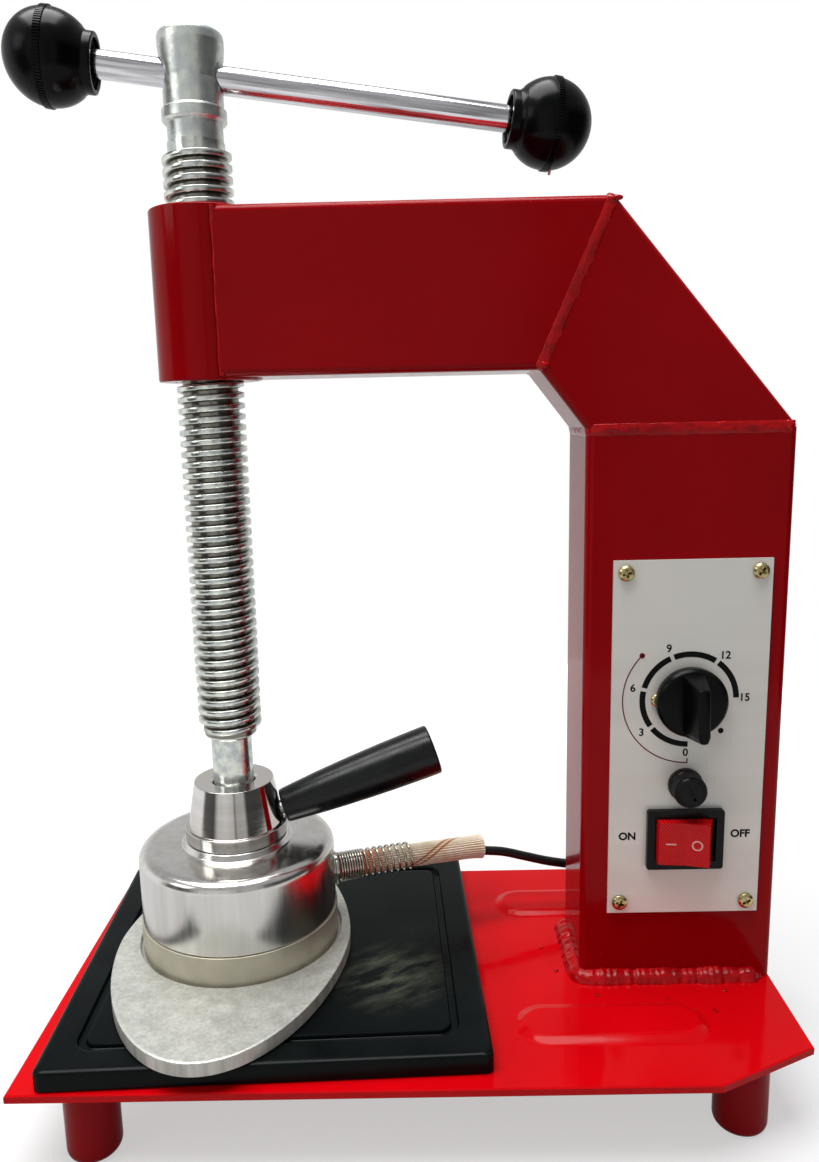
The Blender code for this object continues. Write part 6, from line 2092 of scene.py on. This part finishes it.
    def build_cable(self) -> None:
        """Lays the cable from the sleeve's end past the column's corner into its back."""
        first = self.on_lead(self.reach + self.cable_drop[0]) - UP * self.cable_drop[1]
        path = smooth_path([first, *(Vector(point) for point in self.cable_route)], self.cable_points)
        skin = Skin().tube(path, self.cable_radius, 24)
        joined = (Body.FRAME, Body.CARRIAGE)
        cable = self.bend(skin, "lead_cable_jacket", PVC, joined, (path[-1], path[0]))
        points = [(PRESS_POINT + point) * MM for point in reversed(path)]
        length = sum((there - here).length for here, there in zip(points, points[1:]))
        tuple(points[0])
        [tuple(point) for point in points]
        LOG.info("the cable is %.0f mm long", length / MM)


@dataclass
class ControlPanel:
    """The printed panel with its screws, timer knob, fuse cap and rocker switch."""

    middle: float = 187.3
    back: float = -20.6
    timer_height: float = 122.7
    fuse: Point2 = (186.7, 87.2)
    switch: Point2 = (187.1, 64)
    sheet: float = 1
    print_height: float = 0.06
    dial_outer: float = 19.7
    dial_inner: float = 17.4
    dial_marks: tuple[float, ...] = (270, 217.5, 166.5, 112.5, 55.5, 1.5)
    mark_gap: float = 1.6
    labels: tuple[tuple[str, float, float, float], ...] = (
        ("0", -0.8, -22.2, 3.05),
        ("3", -18.6, -13.4, 3.05),
        ("6", -22.4, 5, 3.05),
        ("9", -8.5, 20.9, 3.05),
        ("12", 13.7, 17.8, 3.05),
        ("15", 21.9, 0.4, 3.05),
        ("ON", -23.3, -57.9, 3.1),
        ("OFF", 22.6, -57.4, 3.1),
    )
    black_dot: Point3 = (1.15, 13, -13.2)
    red_dot: Point3 = (1.1, -19, 18.3)
    red_line: Point2 = (26.15, 26.6)
    red_line_turn: Point2 = (136, 270)
    red_line_end: tuple[Point2, ...] = ((-0.25, -26.6), (0.2, -26.6), (0.2, -24.6), (-0.25, -24.6))
    word_weight: float = 0.05
    digit_weight: float = 0.03
    screw_inset: float = 4.9
    panel_screw: Point2 = (3.2, 2)
    timer_screw: Point2 = (2.7, 1.6)
    panel_size: Point2 = (61.7, 148)
    panel_middle: float = 105
    timer_screw_reach: float = 12.7
    screw_turns: tuple[float, ...] = (12, 50, 70, 28, 20, 60)
    knob_base: float = 2.9
    knob_form: tuple[Point3, ...] = (
        (0, 1, 0), (12.6, 1, 0), (12.6, 0, 0), (14, 0, 0.3),
        (14, 3.2, 0.7), (12.9, 4.5, 0.9), (0, 4.75, 0),
    )
    pointer_turn: float = 2
    shaft_bore: Point3 = (3.3, -1, 5.8)
    fuse_form: tuple[Point3, ...] = (
        (0, 3.6, 0), (6.8, 3.6, 0.2), (6.8, 4.4, 0.2), (6.5, 4.7, 0.1), (6.35, 10, 0.4),
        (5.9, 10.8, 0.3), (5.1, 10.7, 0.2), (4.8, 10.4, 0.2), (0, 10.4, 0),
    )
    coin_turn: float = -62
    coin_slot: tuple[Point3, Point3] = ((-3.9, -0.5, 9.2), (3.9, 0.5, 11.3))
    knurl_count: int = 44
    knurl_radius: float = 0.27
    knurl_ends: tuple[Point2, ...] = ((6.42, 4.9), (6.3237, 9.8))
    rocker_tip: float = -10
    rocker_pivot: float = -2.2
    rocker_height: float = 9.7
    wing_slope: Point2 = (0.8, 9.8)
    mark_reach: float = 5.1
    on_mark: Point2 = (0.28, 2.05)
    off_mark: Point2 = (1.6, 2.15)

    def facing(self, x: float, z: float) -> Matrix:
        """Axes on the panel's back face: Z points out to the front."""
        return at(x, self.back, z, turned(X=90))

    def build(self) -> None:
        """Builds everything on the panel."""
        self.build_print()
        self.build_screws()
        self.build_timer_knob()
        self.build_fuse_cap()
        self.build_switch_marks()

    def flat(self, skin: Skin, outline: Sequence[Point2], base: float) -> None:
        """Adds a flat printed shape at a height."""
        skin.loft([(outline, base), (outline, base + self.print_height)])

    def sector(self, skin: Skin, radii: Point2, angles: Point2, base: float) -> None:
        """Adds a flat piece of ring.

        Args:
            skin: The skin it goes into.
            radii: Its inner and outer radius.
            angles: Its two ends, in degrees.
            base: The height it lies on.
        """
        steps = max(2, int(abs(angles[1] - angles[0]) / 2))
        start, end = radians(angles[0]), radians(angles[1])
        self.flat(skin, arc(radii[1], start, end, steps) + arc(radii[0], end, start, steps), base)

    def letters(self, skin: Skin, label: tuple[str, float, float, float], base: float) -> None:
        """Adds a short text, flat on the panel.

        Args:
            skin: The skin it goes into.
            label: The text, its middle across and up, and the height of its capitals.
            base: The height it lies on.
        """
        text, x, y, height = label
        curve = bpy.data.curves.new("print_text", "FONT")
        curve.body = text
        curve.align_x = "CENTER"
        curve.align_y = "CENTER"
        curve.size = height / 0.7
        curve.offset = (self.word_weight if text.isalpha() else self.digit_weight) * height
        curve.extrude = self.print_height / 2
        made = bpy.data.objects.new("print_text", curve)
        bpy.context.scene.collection.objects.link(made)
        skin.add(evaluated(made), Matrix.Translation((x, y, base + self.print_height / 2)))
        bpy.data.objects.remove(made, do_unlink=True)
        bpy.data.curves.remove(curve)

    def build_print(self) -> None:
        """Prints the dial, its numbers and the switch's words."""
        base = self.sheet + 0.01
        place = self.facing(self.middle, self.timer_height)
        black = Skin()
        gap = degrees(self.mark_gap / self.dial_outer) / 2
        for start, end in zip(self.dial_marks, self.dial_marks[1:]):
            first = start if start == self.dial_marks[0] else start - gap
            last = end if end == self.dial_marks[-1] else end + gap
            self.sector(black, (self.dial_inner, self.dial_outer), (last, first), base)
        self.flat(black, circle(self.black_dot[0], 32, self.black_dot[1:]), base)
        for label in self.labels:
            self.letters(black, label, base)
        black.piece("panel_print_black", BLACK_INK, Body.FRAME, place, angle=None)
        red = Skin()
        self.sector(red, self.red_line, self.red_line_turn, base)
        self.flat(red, self.red_line_end, base)
        self.flat(red, circle(self.red_dot[0], 32, self.red_dot[1:]), base + self.print_height)
        red.piece("panel_print_red", RED_INK, Body.FRAME, place, angle=None)

    def build_screws(self) -> None:
        """Turns the pan-head screws and cuts their cross slots."""
        half_x = self.panel_size[0] / 2 - self.screw_inset
        half_z = self.panel_size[1] / 2 - self.screw_inset
        sides = ((-1, 1), (1, 1), (-1, -1), (1, -1))
        places = []
        for number, (x, z) in enumerate(sides, start=1):
            spot = (self.middle + x * half_x, self.panel_middle + z * half_z)
            places.append((f"panel_screw_{number}", *spot, *self.panel_screw))
        for number, reach in enumerate((-self.timer_screw_reach, self.timer_screw_reach), start=1):
            spot = (self.middle + reach, self.timer_height)
            places.append((f"timer_screw_{number}", *spot, *self.timer_screw))
        for (node, x, z, radius, height), turn in zip(places, self.screw_turns):
            under, top = self.sheet + 0.3, self.sheet + height
            corners = [(0, -4, 0), (1.35, -4, 0.2), (1.35, under, 0), (radius, under, 0.1)]
            corners.append((radius, self.sheet + height * 0.5, 0.5))
            corners.append((radius * 0.7, self.sheet + height * 0.93, 0.8))
            wide, long = radius * 0.17, radius * 0.62
            upper = [(-long, -wide), (long, -wide), (long, wide), (-long, wide)]
            lower = [(a * 0.45, b * 0.5) for a, b in upper]
            place = self.facing(x, z)
            cuts = [
                (
                    Skin().loft([(lower, top - height * 0.95), (upper, top + 0.3)]),
                    place @ turned(Z=turn + across),
                )
                for across in (0, 90)
            ]
            screw = Skin().lathe(soften([*corners, (0, top, 0)]), 48)
            screw.piece(node + "_head", YELLOW_ZINC, Body.FRAME, place, node, cuts=cuts, angle=30)

    def ridge(self, share: float, squeeze: Point2 = (1, 1)) -> list[Point2]:
        """The knob's ridge at one height: round at the pointer, narrower and shorter towards the top.

        Args:
            share: How far up the ridge it is.
            squeeze: How much smaller it is made across and along.

        Returns:
            The outline.
        """
        half = 4.75 - 2.55 * share
        low, high = -14.3 + 2.8 * share, 12.6 - 2.8 * share
        right = [(half * 0.55, low + 0.15, 1.2), (half, low + 2.6, 2.2), (half, high, 0.9)]
        left = [(-x, y, radius) for x, y, radius in reversed(right)]
        return [(x * squeeze[0], y * squeeze[1]) for x, y in soften([(0, low, 0), *right, *left], 6)]

    def build_timer_knob(self) -> None:
        """Moulds the timer knob: a low disc with a tall tapered ridge."""
        base = self.knob_base
        place = self.facing(self.middle, self.timer_height)
        corners = [(radius, base + height, rounding) for radius, height, rounding in self.knob_form]
        knob = Skin().lathe(soften(corners), 128).solid("timer_knob_cap", PHENOLIC, place)
        levels = [
            (self.ridge(0), base + 1.7),
            (self.ridge(0.5), base + 10),
            (self.ridge(0.96), base + 17.6),
            (self.ridge(0.98, (0.96, 0.995)), base + 18.2),
            (self.ridge(1, (0.82, 0.98)), base + 18.5),
        ]
        pointer = place @ turned(Z=self.pointer_turn)
        carve(knob, Skin().loft(levels).solid("knob_ridge", PHENOLIC, pointer), "UNION")
        radius, low, high = self.shaft_bore
        carve(knob, Skin().rod(radius, base + low, base + high).solid("knob_bore", None, place))
        bevelled(knob, 0.25, 2, 40)
        smooth(knob, 40)
        seat(knob, Body.TIMER, PHENOLIC, "timer_knob")

    def build_fuse_cap(self) -> None:
        """Moulds the fuse cap: a knurled rim, a dished face and a coin slot."""
        place = self.facing(*self.fuse)
        slot = Skin().box(*self.coin_slot)
        cuts = [(slot, place @ turned(Z=self.coin_turn))]
        cap = Skin().lathe(soften(self.fuse_form), 120)
        cap.piece("fuse_cap_dome", NYLON, Body.CAP, place, "fuse_cap", cuts=cuts, weighted=True)
        knurl = Skin()
        ends = []
        for radius, z in self.knurl_ends:
            ends.append([Vector((*spot, z)) for spot in circle(radius, self.knurl_count)])
        for low, high in zip(*ends):
            knurl.tube([low, high], self.knurl_radius, 8)
        knurl.piece("fuse_cap_knurl", NYLON, Body.CAP, place, angle=60)

    def build_switch_marks(self) -> None:
        """Pad-prints the rocker's on and off marks on its two wings."""
        place = self.facing(*self.switch) @ lifted(self.rocker_pivot)
        place = place @ turned(Y=self.rocker_tip) @ lifted(self.rocker_height)
        lean = degrees(atan2(*self.wing_slope))
        for name, side in (("on", -1), ("off", 1)):
            wing = place @ turned(Y=-side * lean)
            wing = wing @ Matrix.Translation((side * self.mark_reach * MM, 0, 0.02 * MM))
            mark = Skin()
            if name == "on":
                half, reach = self.on_mark
                mark.box((-half, -reach, 0), (half, reach, self.print_height))
                wing = wing @ turned(Z=90)
            else:
                for half in ((0, 179.9), (180.1, 359.9)):
                    self.sector(mark, self.off_mark, half, 0)
            mark.piece(f"rocker_mark_{name}", WHITE_INK, Body.ROCKER, wing, angle=None)


@dataclass
class CarriedNodes:
    """CAD nodes whose shape stays, by their finish, and the edges of those in view."""

    finishes: tuple[tuple[Finish, tuple[str, ...]], ...] = (
        (PANEL_SHEET, ("control_panel",)),
        (NYLON, ("switch_housing", "fuse_holder")),
        (CLEAR_RED, ("rocker",)),
        (WHITE_NYLON, ("timer_body", "terminal_block")),
        (ZINC, ("timer_shaft", "fuse_nut", "handle_stud", "hub_screw_1", "hub_screw_2", "hub_screw_3")),
        (FUSE_GLASS, ("fuse_cartridge",)),
        (BRONZE, ("thrust_washer",)),
        (SPRING_WIRE, ("retaining_ring",)),
        (MINERAL_BOARD, ("heating_element", "insulation_ring")),
        (PHENOLIC, ("thermostat",)),
    )
    edges: tuple[tuple[str, float], ...] = (("control_panel", 0.15), ("switch_housing", 0.5), ("rocker", 0.4))

    def build(self, nodes: dict[str, Piece]) -> None:
        """Gives each node its material, and softens the edges of those in view.

        Args:
            nodes: The CAD nodes by name.
        """
        for finish, names in self.finishes:
            for name in names:
                for slot in nodes[name].material_slots:
                    slot.material = finish.material()
                LOG.info("%s is finished in %s", name, finish.name)
        for name, width in self.edges:
            bevelled(nodes[name], width, 3, 30)


@dataclass
class Studio:
    """Floor, lights, world and the camera at the photograph's angle."""

    image: Point2 = (819, 1162)
    focal: float = 914.63
    centre: Point2 = (408.1, 581)
    sensor: float = 36
    pitch: float = 10.40
    yaw: float = -0.55
    roll: float = -1.28
    eye: Point3 = (80.23, -370.63, 236.87)
    floor_radius: float = 620
    floor_grey: float = 0.36
    floor_fade: Four = (0.25, 0.6, 0.52, 1)
    floor_mirrored: float = 0.4
    wall_top: Point2 = (0.25, 0.55)
    ceiling: Four = (0.42, 0.42, 0.43, 1)
    even_light: Four = (0.97, 0.98, 1, 1)
    even_strength: float = 0.27
    walls: tuple[Point2, ...] = (
        (0, 0.75), (0.15, 0.9), (0.27, 1), (0.295, 0.12), (0.375, 0.08),
        (0.405, 0.66), (0.46, 0.74), (0.515, 0.6), (0.525, 0.15), (0.535, 0.46),
        (0.59, 0.5), (0.61, 0.06), (0.8, 0.05), (0.845, 0.6), (1, 0.75),
    )
    lamps: tuple[tuple[str, Point3, float, float], ...] = (
        ("ceiling_light", (-0.3, -0.08, 1.9), 1.4, 56),
        ("left_light", (-1.3, -0.7, 0.9), 0.6, 3),
    )
    target: Point3 = (0, 0, 0.15)

    def build(self) -> None:
        """Sets up the stage."""
        bpy.context.scene.view_settings.view_transform = "Standard"
        self.build_camera()
        self.build_floor()
        self.build_world()
        self.build_lights()

    def build_camera(self) -> None:
        """Places the camera where the photograph was taken from."""
        data = bpy.data.cameras.new("photo_camera")
        camera = bpy.data.objects.new("photo_camera", data)
        bpy.context.scene.collection.objects.link(camera)
        bpy.context.scene.camera = camera
        width, height = self.image
        data.sensor_fit = "VERTICAL"
        data.sensor_width = self.sensor
        data.sensor_height = self.sensor
        data.lens = self.focal * self.sensor / height
        data.shift_x = -(self.centre[0] - width / 2) / height
        data.shift_y = (self.centre[1] - height / 2) / height
        data.clip_start = 0.01
        pitch, yaw, roll = (radians(angle) for angle in (self.pitch, self.yaw, self.roll))
        ahead = Vector((sin(yaw) * cos(pitch), cos(yaw) * cos(pitch), -sin(pitch)))
        right = Vector((cos(yaw), -sin(yaw), 0))
        up = right.cross(ahead)
        turned_right = right * cos(roll) + up * sin(roll)
        turned_up = up * cos(roll) - right * sin(roll)
        axes = Matrix((turned_right, turned_up, -ahead)).transposed().to_4x4()
        camera.matrix_world = at(*self.eye, axes)

    def build_floor(self) -> None:
        """Lays a plain pale floor that shows white and keeps the shadow."""
        material = bpy.data.materials.new("pale floor")
        material.use_nodes = True
        tree = material.node_tree
        shader = tree.nodes["Principled BSDF"]
        shader.inputs["Base Color"].default_value = (*[self.floor_grey] * 3, 1)
        shader.inputs["Roughness"].default_value = 0.9
        shader.inputs["Specular IOR Level"].default_value = 0.1
        place = add_node(tree, "TexCoord", {}, "Object")
        away = add_node(tree, "VectorMath", {0: place}, "Value", operation="LENGTH")
        fade = {"Value": away, **dict(zip(RANGE, self.floor_fade))}
        glow = add_node(tree, "Emission", {"Color": WHITE, "Strength": add_node(tree, "MapRange", fade)})
        rays = add_node(tree, "LightPath", {}).node.outputs
        mirrored = {0: rays["Is Glossy Ray"], 1: self.floor_mirrored, 2: rays["Is Camera Ray"]}
        gloss = add_node(tree, "Math", mirrored, operation="MULTIPLY_ADD")
        seen = add_node(tree, "Math", {0: gloss, 1: rays["Is Transmission Ray"]}, operation="MAXIMUM")
        both = add_node(tree, "AddShader", {0: shader.outputs[0], 1: glow})
        mixed = add_node(tree, "MixShader", {0: seen, 1: shader.outputs[0], 2: both})
        tree.links.new(mixed, tree.nodes["Material Output"].inputs["Surface"])
        skin = Skin()
        skin.shape.faces.new(skin.ring([(x, y, -0.2) for x, y in circle(self.floor_radius, 96)]))
        floor = skin.solid("studio_floor", None, Matrix.Identity(4))
        floor.data.materials.append(material)

    def build_world(self) -> None:
        """Lights the scene evenly, shows the camera white, and gives gloss a room of light and dark walls."""
        world = bpy.data.worlds.new("studio")
        bpy.context.scene.world = world
        world.use_nodes = True
        tree = world.node_tree
        tree.nodes.clear()
        way = add_node(tree, "SeparateXYZ", {0: add_node(tree, "TexCoord", {}, "Generated")}).node.outputs
        back = add_node(tree, "Math", {0: way["Y"], 1: -1}, operation="MULTIPLY")
        around = add_node(tree, "Math", {0: way["X"], 1: back}, operation="ARCTAN2")
        share = add_node(tree, "MapRange", {"Value": around, "From Min": -pi, "From Max": pi})
        ring = add_node(tree, "ValToRGB", {0: share})
        stops = ring.node.color_ramp.elements
        stops.remove(stops[-1])
        stops[0].position, first = self.walls[0]
        stops[0].color = (first, first, first, 1)
        for position, level in self.walls[1:]:
            stops.new(position).color = (level, level, level, 1)
        height = add_node(tree, "MapRange", {"Value": way["Z"], **dict(zip(RANGE, self.wall_top))})
        room = add_node(tree, "Mix", {0: height, 6: ring, 7: self.ceiling}, 2, data_type="RGBA")
        rays = add_node(tree, "LightPath", {}).node.outputs
        even, seen, glossy = (
            add_node(tree, "Background", {"Color": colour, "Strength": strength})
            for colour, strength in ((self.even_light, self.even_strength), (WHITE, 1), (room, 1))
        )
        lit = add_node(tree, "MixShader", {0: rays["Is Glossy Ray"], 1: even, 2: glossy})
        direct = {0: rays["Is Camera Ray"], 1: rays["Is Transmission Ray"]}
        shown = add_node(tree, "Math", direct, operation="MAXIMUM")
        out = tree.nodes.new("ShaderNodeOutputWorld")
        tree.links.new(add_node(tree, "MixShader", {0: shown, 1: lit, 2: seen}), out.inputs["Surface"])

    def build_lights(self) -> None:
        """Hangs a large soft light above and a weaker one at the left front."""
        for name, place, size, power in self.lamps:
            data = bpy.data.lights.new(name, "AREA")
            data.size = size
            data.energy = power
            lamp = bpy.data.objects.new(name, data)
            bpy.context.scene.collection.objects.link(lamp)
            lamp.location = place
            lamp.rotation_mode = "QUATERNION"
            lamp.rotation_quaternion = (Vector(self.target) - Vector(place)).to_track_quat("-Z", "Y")


def main() -> None:
    """Builds the looks in order."""
    logging.basicConfig(level=logging.INFO, format="%(message)s")
    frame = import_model()
    Studio().build()
    CarriedNodes().build(frame["nodes"])
    for assembly in (BasePlate, Gantry, Bed, HeaterHead, Lead, PressScrew, CrossBar, ControlPanel):
        assembly().build()


if __name__ == "__main__":
    main()
